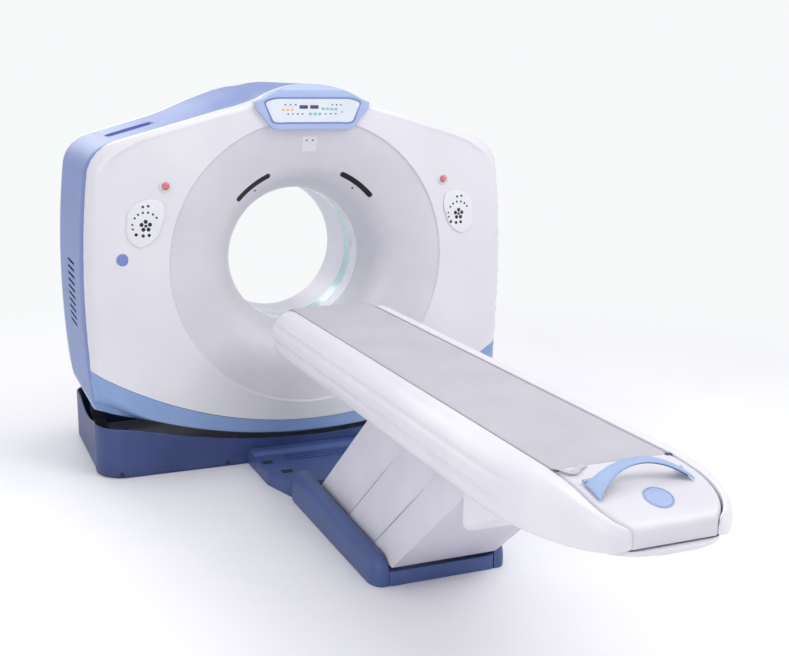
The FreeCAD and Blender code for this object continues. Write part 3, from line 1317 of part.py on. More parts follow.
def build_cradle():
    """Sliding cradle: crowned carbon shell, pad, foot truck, tail block and handle."""
    half = S.cradle_half_width
    edge = S.pad_top - S.pad_thick
    y0 = S.cradle_foot
    y1 = S.cradle_head
    left = V(-half, y0, cradle_low(half))
    right = V(half, y0, cradle_low(half))
    section = Part.Face(Part.Wire([
        arc(left, V(0, y0, cradle_low(0)), right), line(right, V(half, y0, edge)),
        line(V(half, y0, edge), V(-half, y0, edge)), line(V(-half, y0, edge), left)]))
    feature("cradle_shell", section.extrude(V(0, y1 - y0, 0)))
    pad_half = half - S.slide_gap
    pad = slab(-pad_half, pad_half, y0 + 6, y1 - 18, edge + S.close_gap, S.pad_top)
    feature("cradle_pad", pad)
    build_tail_block(start=y0 - S.close_gap)
    truck_low = S.panel_head + 45 + S.close_gap
    rail = S.leg_half_gap + S.leg_thick / 2 + 8
    truck = slab(-rail - 20, rail + 20, y0 + 130, y0 + 400, truck_low,
                 cradle_low(half) - S.close_gap)
    truck = truck.cut(section.extrude(V(0, y1 - y0, 0)))
    feature("cradle_truck", largest(truck))


def tail_top_arc():
    """Three points of the sloping top of the tail block, head end to foot end."""
    start = S.cradle_foot - S.close_gap
    return (V(0, start, S.pad_top + 1), V(0, start - 172, S.pad_top - 18),
            V(0, S.tail_foot + 22, S.pad_top - 60))


def tail_top(y):
    """Height of the tail block's top at a distance along the table."""
    middle = Part.Circle(*tail_top_arc())
    return middle.Center.z + math.sqrt(middle.Radius ** 2 - (y - middle.Center.y) ** 2)


def build_tail_block(start):
    """Rounded end block behind the pad, with the lugs of its release handle."""
    half = S.cradle_half_width
    end = S.tail_foot
    low = S.pad_top - S.tail_height
    turn = half * 0.30
    plan = Part.Face(Part.Wire([
        line(V(-half, start, 0), V(half, start, 0)),
        line(V(half, start, 0), V(half, start - 60, 0)),
        arc(V(half, start - 60, 0), V(half - turn * 0.35, end + 110, 0),
            V(S.tail_half_end, end, 0)),
        line(V(S.tail_half_end, end, 0), V(-S.tail_half_end, end, 0)),
        arc(V(-S.tail_half_end, end, 0), V(turn * 0.35 - half, end + 110, 0),
            V(-half, start - 60, 0)),
        line(V(-half, start - 60, 0), V(-half, start, 0))]))
    top_a, top_b, top_c = tail_top_arc()
    corner = V(0, end, top_c.z - 24)
    foot_low = low - 36
    side = Part.Face(Part.Wire([
        line(V(0, start, low), top_a), arc(top_a, top_b, top_c),
        arc(top_c, V(0, end + 7, top_c.z - 8), corner), line(corner, V(0, end, foot_low)),
        line(V(0, end, foot_low), V(0, end + 26, foot_low)),
        line(V(0, end + 26, foot_low), V(0, end + 60, low)),
        line(V(0, end + 60, low), V(0, start, low))]))
    side.translate(V(-FAR, 0, 0))
    block = plan.extrude(V(0, 0, 2 * FAR)).common(side.extrude(V(2 * FAR, 0, 0)))
    pivot = handle_pivot()
    bore = S.handle_pin + S.running_fit
    for x in (-S.handle_half - 6, S.handle_half * 0.84 + 1):
        lug = slab(x, x + 5, pivot.y - 8, pivot.y + 8, pivot.z - 20, pivot.z)
        lug = lug.fuse(rod(8, 5, V(x, pivot.y, pivot.z), X_AXIS))
        block = block.fuse(lug.cut(rod(bore, 7, V(x - 1, pivot.y, pivot.z), X_AXIS)))
    feature("tail_block", largest(block.removeSplitter()))


def handle_pivot():
    """Middle of the hinge line of the release handle."""
    y = S.cradle_foot - S.handle_setback
    return V(0, y, tail_top(y) + S.handle_thick)


def build_handle():
    """Arched release handle that bridges the tail block, broad at its left foot."""
    pivot = handle_pivot()
    half = S.handle_half
    steps = 7
    rings = []
    for i in range(steps + 1):
        share = i / steps
        x = -half + half * 1.84 * share
        rise = S.handle_rise * 4 * share * (1 - share)
        broad = S.handle_foot * (1 - share) ** 2.2
        reach = 34 + 16 * share + broad
        head_y = pivot.y + 4 - 10 * math.sin(math.pi * share)
        under = [V(x, y, tail_top(y) + S.close_gap * 4 + rise)
                 for y in (head_y, head_y - reach / 2, head_y - reach)]
        ring = under + [p + V(0, 0, S.handle_thick) for p in reversed(under)]
        rings.append(Part.makePolygon(ring + ring[:1]))
    arch = Part.makeLoft(rings, True, True)
    for x, long in ((-half, 34), (half * 0.84 - 18, 18)):
        arch = arch.fuse(rod(S.handle_thick * 0.62, long, V(x, pivot.y, pivot.z), X_AXIS))
    arch = arch.fuse(rod(S.handle_pin, 6, V(-half - 6, pivot.y, pivot.z), X_AXIS))
    arch = arch.fuse(rod(S.handle_pin, 6, V(half * 0.84, pivot.y, pivot.z), X_AXIS))
    feature("release_handle", largest(arch))


build_table_top()
build_cradle()
build_handle()


# ---------------------------------------------------------------- rebuild, test, write
doc.recompute()
failed = [o.Label for o in doc.Objects if "Invalid" in o.State or "Error" in o.State]
if failed:
    raise RuntimeError("objects that failed to rebuild: " + ", ".join(failed))
for part in NODES:
    if part.Shape.isNull() or not part.Shape.isValid():
        raise RuntimeError("no sound solid in " + part.Label)
for part in NODES:
    part.Shape.exportStep(os.path.join("parts", part.Label + ".step"))
print(len(NODES), "sub-parts written")
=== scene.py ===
"""Looks of the computed tomography scanner: finishes, moulded covers, table and studio.

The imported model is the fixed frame. Covers with rounded edges, the padded cradle and the
small trim are modelled here in metres, in the same frame, and stand for their plain solids.
"""

import logging
import math
from dataclasses import dataclass
from enum import Enum
from typing import Callable, Sequence

import bmesh
import bpy
from mathutils import Matrix, Vector


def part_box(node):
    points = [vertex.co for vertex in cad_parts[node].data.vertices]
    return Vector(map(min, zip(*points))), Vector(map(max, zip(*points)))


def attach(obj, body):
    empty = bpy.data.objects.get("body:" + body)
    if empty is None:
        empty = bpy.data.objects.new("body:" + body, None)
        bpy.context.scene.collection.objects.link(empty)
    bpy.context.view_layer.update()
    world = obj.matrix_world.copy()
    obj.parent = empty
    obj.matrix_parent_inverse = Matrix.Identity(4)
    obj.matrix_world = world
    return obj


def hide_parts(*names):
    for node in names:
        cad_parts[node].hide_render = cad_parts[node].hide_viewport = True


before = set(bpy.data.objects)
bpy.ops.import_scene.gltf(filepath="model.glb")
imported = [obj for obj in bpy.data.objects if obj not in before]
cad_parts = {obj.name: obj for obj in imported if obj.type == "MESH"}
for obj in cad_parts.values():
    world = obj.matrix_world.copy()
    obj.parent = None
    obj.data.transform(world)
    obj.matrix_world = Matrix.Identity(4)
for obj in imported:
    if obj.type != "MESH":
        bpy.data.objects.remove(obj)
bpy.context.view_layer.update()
LOG = logging.getLogger("ct_scanner")
MM = 0.001


# ------------------------------------------------------------------ finishes
def linear(code: str) -> tuple[float, float, float, float]:
    """Turn an sRGB hex colour into linear RGBA.

    Args:
        code: six hex digits, such as "E8E6EC".

    Returns:
        The colour as four linear floats, alpha 1.
    """
    parts = [int(code[i:i + 2], 16) / 255 for i in (0, 2, 4)]
    return tuple(p / 12.92 if p <= 0.04045 else ((p + 0.055) / 1.055) ** 2.4
                 for p in parts) + (1.0,)


def add_node(tree: bpy.types.NodeTree, kind: str, settings: dict | None = None,
             links: dict | None = None) -> bpy.types.Node:
    """Add one node with its settings and links.

    Args:
        tree: the node tree.
        kind: the node's type name.
        settings: attributes, or input socket values by name or number.
        links: input socket name or number to an output socket.

    Returns:
        The new node.
    """
    node = tree.nodes.new(kind)
    for key, value in (settings or {}).items():
        if isinstance(key, int) or key in node.inputs:
            node.inputs[key].default_value = value
        else:
            setattr(node, key, value)
    for key, socket in (links or {}).items():
        tree.links.new(socket, node.inputs[key])
    return node


class Grain(Enum):
    """How a surface was made, which sets the pattern of its relief."""

    MOULDED = "spark-eroded tool texture"
    SPRAYED = "orange peel of sprayed lacquer"
    BRUSHED = "parallel brushing"
    CAST = "sand-cast skin under paint"
    COATED_CLOTH = "embossed grain of coated upholstery cloth"
    SMOOTH = "polished tool"


@dataclass(frozen=True)
class Finish:
    """One real finish: what it is made of, how it was made and what that gives the eye."""

    name: str
    colour: str
    shade: str
    grain: Grain = Grain.MOULDED
    grain_mm: float = 1.2
    relief: float = 0.06
    roughness: float = 0.42
    patch_mm: float = 260.0
    metallic: float = 0.0
    coat: float = 0.0
    sheen: float = 0.0
    alpha: float = 1.0

    def material(self) -> bpy.types.Material:
        """Build or fetch the node material of this finish.

        Returns:
            The material, shared by every piece with this finish.
        """
        known = bpy.data.materials.get(self.name)
        if known:
            return known
        material = bpy.data.materials.new(self.name)
        material.use_nodes = True
        tree = material.node_tree
        tree.nodes.clear()
        place = add_node(tree, "ShaderNodeTexCoord").outputs["Object"]
        patches = add_node(tree, "ShaderNodeTexNoise",
                           {"Scale": 1000 / self.patch_mm, "Detail": 3.0, "Roughness": 0.55},
                           {"Vector": place})
        tone = add_node(tree, "ShaderNodeValToRGB", links={"Fac": patches.outputs["Fac"]})
        tone.color_ramp.elements[0].position = 0.30
        tone.color_ramp.elements[1].position = 0.72
        tone.color_ramp.elements[0].color = linear(self.shade)
        tone.color_ramp.elements[1].color = linear(self.colour)
        gloss = add_node(tree, "ShaderNodeMapRange",
                         {"To Min": self.roughness * 0.88, "To Max": self.roughness * 1.12},
                         {"Value": patches.outputs["Fac"]})
        shader = add_node(tree, "ShaderNodeBsdfPrincipled",
                          {"Metallic": self.metallic, "Coat Weight": self.coat,
                           "Coat Roughness": 0.12, "Sheen Weight": self.sheen,
                           "Alpha": self.alpha},
                          {"Base Color": tone.outputs["Color"],
                           "Roughness": gloss.outputs["Result"]})
        height = self.pattern(tree, place)
        if height:
            bump = add_node(tree, "ShaderNodeBump",
                            {"Strength": self.relief * 4, "Distance": self.grain_mm * MM},
                            {"Height": height})
            tree.links.new(bump.outputs["Normal"], shader.inputs["Normal"])
        add_node(tree, "ShaderNodeOutputMaterial", links={"Surface": shader.outputs["BSDF"]})
        return material

    def pattern(self, tree: bpy.types.NodeTree,
                place: bpy.types.NodeSocket) -> bpy.types.NodeSocket | None:
        """Add the relief pattern of the grain, at its real spacing.

        Args:
            tree: the material's node tree.
            place: object coordinates in metres.

        Returns:
            The height output, or None for a polished surface.
        """
        if self.grain is Grain.SMOOTH:
            return None
        scale = 1000 / self.grain_mm
        if self.grain is Grain.COATED_CLOTH:
            cells = add_node(tree, "ShaderNodeTexVoronoi",
                             {"feature": "DISTANCE_TO_EDGE", "Scale": scale,
                              "Randomness": 0.9}, {"Vector": place})
            return cells.outputs["Distance"]
        if self.grain is Grain.BRUSHED:
            along = add_node(tree, "ShaderNodeMapping", {"Scale": (1.0, 0.03, 1.0)},
                             {"Vector": place})
            place = along.outputs["Vector"]
        detail = 6.0 if self.grain is Grain.CAST else 2.0
        noise = add_node(tree, "ShaderNodeTexNoise", {"Scale": scale, "Detail": detail},
                         {"Vector": place})
        return noise.outputs["Fac"]


# Sprayed lacquer on moulded covers keeps a faint orange peel, about 3 mm across, and a
# satin sheen. Where the real grain is too fine for the picture it is drawn coarser.
COVER_WHITE = Finish("lacquered_abs_white", "DCDBE1", "D4D3DB", Grain.SPRAYED, 3.4, 0.020,
                     0.36, 420, coat=0.10)
# The dish is the same white moulding as the front; this darker copy of the white is painted shade
# on its sloping surface.
DISH_WHITE_PAINTED_SHADE = Finish("lacquered_abs_dish_painted_shade", "D0CFD7", "C8C6D0", Grain.SPRAYED, 3.4, 0.020,
                    0.40, 380, coat=0.06)
SIDE_BLUE = Finish("lacquered_abs_blue", "7288C0", "677DB6", Grain.SPRAYED, 3.4, 0.025,
                   0.46, 420, coat=0.04)
# A darker copy of the side blue: painted shade in the lifting recesses of the top.
RECESS_BLUE_PAINTED_SHADE = Finish("lacquered_abs_recess_painted_shade", "4C5AA6", "43519A", Grain.SPRAYED, 3.4, 0.025,
                     0.46, 420)
BAND_BLUE = Finish("lacquered_abs_band", "86A0CC", "7A95C2", Grain.SPRAYED, 3.4, 0.025,
                   0.34, 420, coat=0.14)
CONSOLE_BLUE = Finish("lacquered_abs_console", "A6B6DA", "9AABD2", Grain.SPRAYED, 3.0,
                      0.020, 0.32, 300, coat=0.14)
# Moulded polyurethane keeps the spark-eroded texture of its tool, which breaks up the
# highlights and leaves an even, soft shine.
BASE_NAVY = Finish("textured_polyurethane_navy", "3A4B80", "303F70", Grain.MOULDED, 2.2,
                   0.055, 0.44, 240)
POD_NAVY = Finish("textured_polyurethane_pod", "44588E", "394B7E", Grain.MOULDED, 2.2,
                  0.055, 0.42, 240)
# Fibreglass and sheet metal are painted: the first is sanded smooth and shines a little
# more, the second has the slight dimple of powder coat.
TABLE_WHITE = Finish("lacquered_fibreglass_white", "E2E1E7", "D9D7E0", Grain.SPRAYED, 3.0,
                     0.020, 0.36, 380, coat=0.10)
PANEL_WHITE = Finish("powder_coated_aluminium", "D6D4DE", "CCC9D6", Grain.SPRAYED, 2.0,
                     0.035, 0.46, 300)
TAIL_GREY = Finish("moulded_abs_tail", "D9D8DF", "D0CED8", Grain.MOULDED, 1.6, 0.030,
                   0.40, 240)
# Coated cloth is embossed with a fine cell grain; it is matt, with a faint glow at grazing
# angles. The cells are drawn coarser than the real ones of about 1 mm, so that they show.
PAD_CLOTH = Finish("coated_upholstery_cloth", "B9B6C0", "B1AEB9", Grain.COATED_CLOTH, 3.2,
                   0.050, 0.58, 200, sheen=0.12)
PAD_WELT = Finish("welded_cloth_edge", "A9A6B4", "A09DAC", Grain.COATED_CLOTH, 2.4, 0.05,
                  0.60, 120)
# The carbon shell is painted and clear lacquered, so it is the glossiest large piece.
CARBON_SKIN = Finish("lacquered_carbon_laminate", "C6C5CE", "BEBCC8", Grain.SPRAYED, 2.6,
                     0.020, 0.30, 320, coat=0.25)
# Moulded nylon and rubber: small even grain, satin on the nylon and dull on the rubber.
HANDLE_BLUE = Finish("moulded_nylon_blue", "9AB0D6", "8DA4CC", Grain.MOULDED, 1.4, 0.03,
                     0.36, 120, coat=0.10)
HANDLE_DARK = Finish("moulded_nylon_navy", "33406E", "2B3660", Grain.MOULDED, 1.4, 0.04,
                     0.44, 120)
# Black rubber of the pedal treads and plugs; the same black is painted shade on the lift panels'
# seams and on the stands inside the base.
RUBBER_BLACK_AND_PAINTED_SHADE = Finish("rubber_black_and_painted_shade", "2A2C38", "22242E", Grain.MOULDED, 1.4, 0.05, 0.62, 60)
# Membranes, buttons and windows come off polished tools and have no texture of their own;
# the film of the keypads and the tunnel's liner have a fine one that takes the glare off.
BUTTON_BLACK = Finish("membrane_black", "15161C", "101116", Grain.SMOOTH, roughness=0.38,
                      patch_mm=20)
KEYPAD_FILM = Finish("printed_polyester_film", "E0E0E5", "D8D8DE", Grain.MOULDED, 1.0, 0.02,
                     0.30, 90)
STOP_RED = Finish("moulded_stop_red", "D8707C", "CC626E", Grain.SMOOTH, roughness=0.30,
                  patch_mm=30, coat=0.3)
LASER_BLACK = Finish("smoked_acrylic", "0A0A0E", "060609", Grain.SMOOTH, roughness=0.42,
                     patch_mm=60)
WINDOW_FILM = Finish("polyester_window_film", "B9D6DA", "AACBD1", Grain.SMOOTH,
                     roughness=0.22, patch_mm=160, coat=0.3)
LINER_WHITE = Finish("moulded_liner_white", "E4E3EA", "DAD8E2", Grain.MOULDED, 1.8, 0.02,
                     0.40, 300)
# Inner parts: powder coat and painted castings are dull and uneven, bare metal is brushed
# and draws its highlights out along the brushing.
STEEL_PAINT = Finish("powder_coated_steel", "8D929B", "80858F", Grain.CAST, 2.4, 0.04, 0.5,
                     200)
BRIGHT_STEEL = Finish("ground_steel", "BFC2C8", "B0B3BA", Grain.BRUSHED, 1.0, 0.05, 0.28,
                      120, metallic=1.0)
ALLOY = Finish("extruded_aluminium", "C2C4C9", "B4B7BD", Grain.BRUSHED, 1.2, 0.05, 0.36,
               160, metallic=1.0)
CAST_PAINT = Finish("painted_iron_casting", "9DA2AA", "90959E", Grain.CAST, 3.2, 0.09, 0.55,
                    220)
# Rubber is dull and nearly black, moulded resin a dark satin, clear vinyl soft and glossy.
BELT_RUBBER = Finish("moulded_rubber", "26272B", "1D1E22", Grain.MOULDED, 1.8, 0.08, 0.72,
                     80)
RING_RESIN = Finish("moulded_resin_dark", "3E424B", "343841", Grain.MOULDED, 1.4, 0.05, 0.42,
                    120)
STRAP_CLEAR = Finish("clear_vinyl_strap", "D2D3DE", "C8C9D6", Grain.SMOOTH, roughness=0.22,
                     patch_mm=40, coat=0.4, alpha=0.72)
# The display's film is printed, and its cells are small, smooth and even in colour.
SCREEN_PANEL = Finish("printed_panel_film", "DCE1EA", "D0D6E2", Grain.SMOOTH, roughness=0.24,
                      patch_mm=120)
KEY_TEAL = Finish("membrane_teal", "7FC0BE", "74B4B4", Grain.SMOOTH, roughness=0.36,
                  patch_mm=20)
KEY_AMBER = Finish("membrane_amber", "E3B06A", "D8A45E", Grain.SMOOTH, roughness=0.36,
                   patch_mm=20)


# ------------------------------------------------------------------ mesh helpers
Point = tuple[float, float, float]


def arc_points(a: Sequence[float], b: Sequence[float], c: Sequence[float],
               count: int) -> list[tuple[float, float]]:
    """Points of the flat arc through three points, both ends included.

    Args:
        a: first point.
        b: a point on the way.
        c: last point.
        count: number of points.

    Returns:
        The points, from a to c.
    """
    d = 2 * (a[0] * (b[1] - c[1]) + b[0] * (c[1] - a[1]) + c[0] * (a[1] - b[1]))
    squares = [p[0] ** 2 + p[1] ** 2 for p in (a, b, c)]
    ux = (squares[0] * (b[1] - c[1]) + squares[1] * (c[1] - a[1])
          + squares[2] * (a[1] - b[1])) / d
    uy = (squares[0] * (c[0] - b[0]) + squares[1] * (a[0] - c[0])
          + squares[2] * (b[0] - a[0])) / d
    radius = math.hypot(a[0] - ux, a[1] - uy)
    angles = [math.atan2(p[1] - uy, p[0] - ux) for p in (a, b, c)]
    turn = (angles[2] - angles[0]) % math.tau
    if (angles[1] - angles[0]) % math.tau > turn:
        turn -= math.tau
    return [(ux + radius * math.cos(angles[0] + turn * i / (count - 1)),
             uy + radius * math.sin(angles[0] + turn * i / (count - 1)))
            for i in range(count)]


def resampled(points: Sequence[Sequence[float]], count: int) -> list[tuple[float, ...]]:
    """Spread a number of points evenly along an open run of points.

    Args:
        points: the run, in two or three dimensions.
        count: number of points wanted.

    Returns:
        Evenly spaced points, both ends kept.
    """
    lengths = [0.0]
    for p, q in zip(points, points[1:]):
        lengths.append(lengths[-1] + math.dist(p, q))
    result = []
    step = 0
    for i in range(count):
        target = lengths[-1] * i / (count - 1)
        while step < len(points) - 2 and lengths[step + 1] < target:
            step += 1
        span = lengths[step + 1] - lengths[step] or 1.0
        share = (target - lengths[step]) / span
        result.append(tuple(u + (v - u) * share
                            for u, v in zip(points[step], points[step + 1])))
    return result


def flowing(points: Sequence[Sequence[float]], count: int) -> list[tuple[float, ...]]:
    """Smooth run through all given points, evenly spread.

    Args:
        points: places that the run passes through, in two or three dimensions.
        count: number of points wanted.

    Returns:
        Evenly spaced points, both ends kept.
    """
    padded = [points[0]] + list(points) + [points[-1]]
    fine = []
    for p0, p1, p2, p3 in zip(padded, padded[1:], padded[2:], padded[3:]):
        for i in range(12):
            t = i / 12
            fine.append(tuple(0.5 * (2 * b + (c - a) * t + (2 * a - 5 * b + 4 * c - d) * t * t
                                     + (3 * b - a - 3 * c + d) * t ** 3)
                              for a, b, c, d in zip(p0, p1, p2, p3)))
    return resampled(fine + [tuple(points[-1])], count)


def smooth_step(low: float, high: float, value: float) -> float:
    """Ease from 0 at low to 1 at high."""
    share = min(1.0, max(0.0, (value - low) / (high - low)))
    return share * share * (3 - 2 * share)


def quarter_rise(share: float) -> float:
    """Rise of a quarter circle from 0 to 1 as the share goes from 0 to 1 and beyond."""
    return math.sqrt(max(0.0, 1 - (1 - min(1.0, share)) ** 2))


def rolled_in(reach: float, share: float) -> float:
    """How far a rounded edge is drawn in: by its reach at share 1, not at all at 0."""
    return reach * (1 - math.sqrt(max(0.0, 1 - share ** 2)))


def circle_points(u: float, v: float, radius: float,
                  steps: int) -> list[tuple[float, float]]:
    """Closed circle about a middle point."""
    return [(u + radius * math.cos(a), v + radius * math.sin(a))
            for a in [math.tau * i / steps for i in range(steps)]]


def mirrored(right: Sequence[tuple[float, float]],
             closed: bool = False) -> list[tuple[float, float]]:
    """Whole run from its right half, which ends in the middle, and starts there if closed."""
    return list(right) + [(-x, v) for x, v in reversed(right[1 if closed else 0:-1])]


def curved(table: Sequence[tuple[float, float]], at: float) -> float:
    """Read a flowing value between stations, without flats at them.

    Args:
        table: pairs of place and value, places rising.
        at: the place asked for.

    Returns:
        The value there.
    """
    if at <= table[0][0]:
        return table[0][1]
    if at >= table[-1][0]:
        return table[-1][1]
    last = len(table) - 1
    i = max(k for k in range(last) if table[k][0] <= at)

    def slope(k: int) -> float:
        """Slope of the run through a station, from its two neighbours."""
        low, high = max(0, k - 1), min(last, k + 1)
        return (table[high][1] - table[low][1]) / (table[high][0] - table[low][0])

    span = table[i + 1][0] - table[i][0]
    t = (at - table[i][0]) / span
    return ((2 * t ** 3 - 3 * t * t + 1) * table[i][1] + (t ** 3 - 2 * t * t + t) * span * slope(i)
            + (3 * t * t - 2 * t ** 3) * table[i + 1][1] + (t ** 3 - t * t) * span * slope(i + 1))


def grid(rows: Sequence[Sequence[Point]], around: bool = False,
         ends: bool = False) -> tuple[list[Point], list[tuple[int, ...]]]:
    """Vertices and faces of a net of rows.

    Args:
        rows: rows of points, all as long as each other.
        around: True where each row closes on itself.
        ends: True to cap the first and last row.

    Returns:
        The vertices and the faces.
    """
    verts = [tuple(p) for row in rows for p in row]
    width = len(rows[0])
    faces: list[tuple[int, ...]] = []
    for r in range(len(rows) - 1):
        for i in range(width if around else width - 1):
            j = (i + 1) % width
            faces.append((r * width + i, r * width + j, (r + 1) * width + j,
                          (r + 1) * width + i))
    if ends:
        faces.append(tuple(reversed(range(width))))
        faces.append(tuple(range((len(rows) - 1) * width, len(rows) * width)))
    return verts, faces


def new_object(name: str, verts: Sequence[Point],
               faces: Sequence[Sequence[int]]) -> bpy.types.Object:
    """Make a mesh object at the origin with merged points and outward faces.

    Args:
        name: the object's name.
        verts: points in metres.
        faces: faces by point number.

    Returns:
        The new object.
    """
    mesh = bpy.data.meshes.new(name)
    mesh.from_pydata(list(verts), [], list(faces))
    work = bmesh.new()
    work.from_mesh(mesh)
    bmesh.ops.remove_doubles(work, verts=work.verts, dist=2e-5)
    bmesh.ops.dissolve_degenerate(work, edges=work.edges, dist=1e-6)
    bmesh.ops.recalc_face_normals(work, faces=work.faces)
    work.to_mesh(mesh)
    work.free()
    obj = bpy.data.objects.new(name, mesh)
    bpy.context.scene.collection.objects.link(obj)
    return obj


def closed_solid(name: str, rows: Sequence[Sequence[Point]]) -> bpy.types.Object:
    """Solid of closed rows, with its first and last row capped."""
    return new_object(name, *grid(rows, around=True, ends=True))


def baked(obj: bpy.types.Object) -> bpy.types.Object:
    """Turn an object and its modifiers into a plain mesh object of the same name."""
    evaluated = obj.evaluated_get(bpy.context.evaluated_depsgraph_get())
    mesh = bpy.data.meshes.new_from_object(evaluated)
    obj.modifiers.clear()
    old = obj.data
    obj.data = mesh
    bpy.data.meshes.remove(old)
    return obj


def modified(obj: bpy.types.Object, kind: str, **settings: object) -> bpy.types.Object:
    """Add one modifier, apply it and return the object."""
    modifier = obj.modifiers.new(kind.lower(), kind)
    for key, value in settings.items():
        setattr(modifier, key, value)
    return baked(obj)


def carved(obj: bpy.types.Object, tool: bpy.types.Object,
           operation: str = "DIFFERENCE") -> bpy.types.Object:
    """Cut or keep with another solid, which is used up."""
    modified(obj, "BOOLEAN", operation=operation, object=tool, solver="EXACT")
    bpy.data.objects.remove(tool)
    return obj


def prism_y(outline: Sequence[tuple[float, float]], y0: float, y1: float,
            name: str = "tool") -> bpy.types.Object:
    """Solid of a front-view outline between two places along the bore axis."""
    rows = [[(x, y, z) for x, z in outline] for y in (y0, y1)]
    return closed_solid(name, rows)


def placed(obj: bpy.types.Object, at: Sequence[float],
           turn: Matrix = Matrix.Identity(4)) -> bpy.types.Object:
    """Turn the mesh of a piece modelled about the origin, and move it to its place."""
    obj.data.transform(Matrix.Translation(at) @ turn)
    return obj


def flip_outwards(obj: bpy.types.Object, towards: Vector) -> None:
    """Turn an open skin over where it faces the wrong way on the whole.

    Args:
        obj: the skin.
        towards: direction that its front side should face.
    """
    total = Vector((0, 0, 0))
    for face in obj.data.polygons:
        total += face.normal * face.area
    if total.dot(towards) < 0:
        obj.data.flip_normals()


def walled(obj: bpy.types.Object, towards: Vector, wall: float) -> bpy.types.Object:
    """Face an open skin a given way and thicken it behind that side."""
    flip_outwards(obj, towards)
    return modified(obj, "SOLIDIFY", thickness=wall, offset=-1.0)


def solid_wall(obj: bpy.types.Object, wall: float) -> bpy.types.Object:
    """Thicken an open skin inwards, away from the side that faces out of the body."""
    total = 0.0
    for face in obj.data.polygons:
        middle = face.center - Vector((0, face.center.y, CENTRE_Z))
        total += face.normal.dot(middle) * face.area
    if total < 0:
        obj.data.flip_normals()
    return modified(obj, "SOLIDIFY", thickness=wall, offset=-1.0)


def rounded_box(u: float, v: float, half_u: float, half_v: float, radius: float,
                steps: int = 6) -> list[tuple[float, float]]:
    """Closed outline of a rectangle with round corners about a middle point."""
    radius = min(radius, half_u * 0.999, half_v * 0.999)
    result = []
    for su, sv, start in ((1, 1, 0), (-1, 1, 90), (-1, -1, 180), (1, -1, 270)):
        for i in range(steps + 1):
            angle = math.radians(start + 90 * i / steps)
            result.append((u + su * (half_u - radius) + radius * math.cos(angle),
                           v + sv * (half_v - radius) + radius * math.sin(angle)))
    return result


def prism_z(outline: Sequence[tuple[float, float]], z0: float, z1: float,
            name: str = "tool") -> bpy.types.Object:
    """Solid of a plan outline between two heights."""
    rows = [[(x, y, z) for x, y in outline] for z in (z0, z1)]
    return closed_solid(name, rows)


def repeated(name: str, seed: bpy.types.Object, places: Sequence[Point],
             finish: Finish | None = None) -> bpy.types.Object:
    """Put a copy of a small solid at every place, by Geometry Nodes.

    Args:
        name: name of the result.
        seed: the small solid, modelled about the origin; it is used up.
        places: where the copies go.
        finish: finish that the nodes set, if any.

    Returns:
        One plain mesh object of all copies.
    """
    tree = bpy.data.node_groups.new(name + "_nodes", "GeometryNodeTree")
    sockets = {}
    for label, kind, way in (("Geometry", "NodeSocketGeometry", "INPUT"),
                             ("Piece", "NodeSocketObject", "INPUT"),
                             ("Scale", "NodeSocketFloat", "INPUT"),
                             ("Finish", "NodeSocketMaterial", "INPUT"),
                             ("Geometry", "NodeSocketGeometry", "OUTPUT")):
        item = tree.interface.new_socket(label, in_out=way, socket_type=kind)
        if way == "INPUT":
            sockets[label] = item.identifier
    given = add_node(tree, "NodeGroupInput").outputs
    piece = add_node(tree, "GeometryNodeObjectInfo", links={"Object": given["Piece"]})
    placed = add_node(tree, "GeometryNodeInstanceOnPoints",
                      links={"Points": given["Geometry"],
                             "Instance": piece.outputs["Geometry"], "Scale": given["Scale"]})
    real = add_node(tree, "GeometryNodeRealizeInstances",
                    links={"Geometry": placed.outputs["Instances"]})
    coat = add_node(tree, "GeometryNodeSetMaterial",
                    links={"Geometry": real.outputs["Geometry"],
                           "Material": given["Finish"]})
    add_node(tree, "NodeGroupOutput", links={"Geometry": coat.outputs["Geometry"]})
    mesh = bpy.data.meshes.new(name)
    mesh.from_pydata(list(places), [], [])
    obj = bpy.data.objects.new(name, mesh)
    bpy.context.scene.collection.objects.link(obj)
    modifier = obj.modifiers.new("copies", "NODES")
    modifier.node_group = tree
    modifier[sockets["Piece"]] = seed
    modifier[sockets["Scale"]] = 1.0
    if finish:
        modifier[sockets["Finish"]] = finish.material()
    baked(obj)
    bpy.data.objects.remove(seed)
    return obj


def turned_solid(name: str, run: Sequence[tuple[float, float]],
                 steps: int = 48) -> bpy.types.Object:
    """Solid of revolution about the z axis.

    Args:
        name: the piece's name.
        run: radius and height, from the top round to the foot.
        steps: facets round the axis.

    Returns:
        The solid.
    """
    angles = [math.tau * i / steps for i in range(steps)]
    rows = [[(r * math.cos(a), r * math.sin(a), z) for a in angles] for r, z in run]
    closed = run[0][0] > 0 and run[-1][0] > 0
    if closed:
        rows.append(rows[0])
    return new_object(name, *grid(rows, around=True))


def tube(name: str, path: Sequence[Point], radius: float, sides: int = 8) -> bpy.types.Object:
    """Round solid along an open path."""
    rows = []
    for i, point in enumerate(path):
        ahead = Vector(path[min(i + 1, len(path) - 1)]) - Vector(path[max(i - 1, 0)])
        ahead.normalize()
        side = ahead.cross(Vector((0, 0, 1)))
        if side.length < 0.1:
            side = ahead.cross(Vector((1, 0, 0)))
        side.normalize()
        over = side.cross(ahead)
        rows.append([tuple(Vector(point) + radius * (side * math.cos(a) + over * math.sin(a)))
                     for a in [math.tau * k / sides for k in range(sides)]])
    return closed_solid(name, rows)


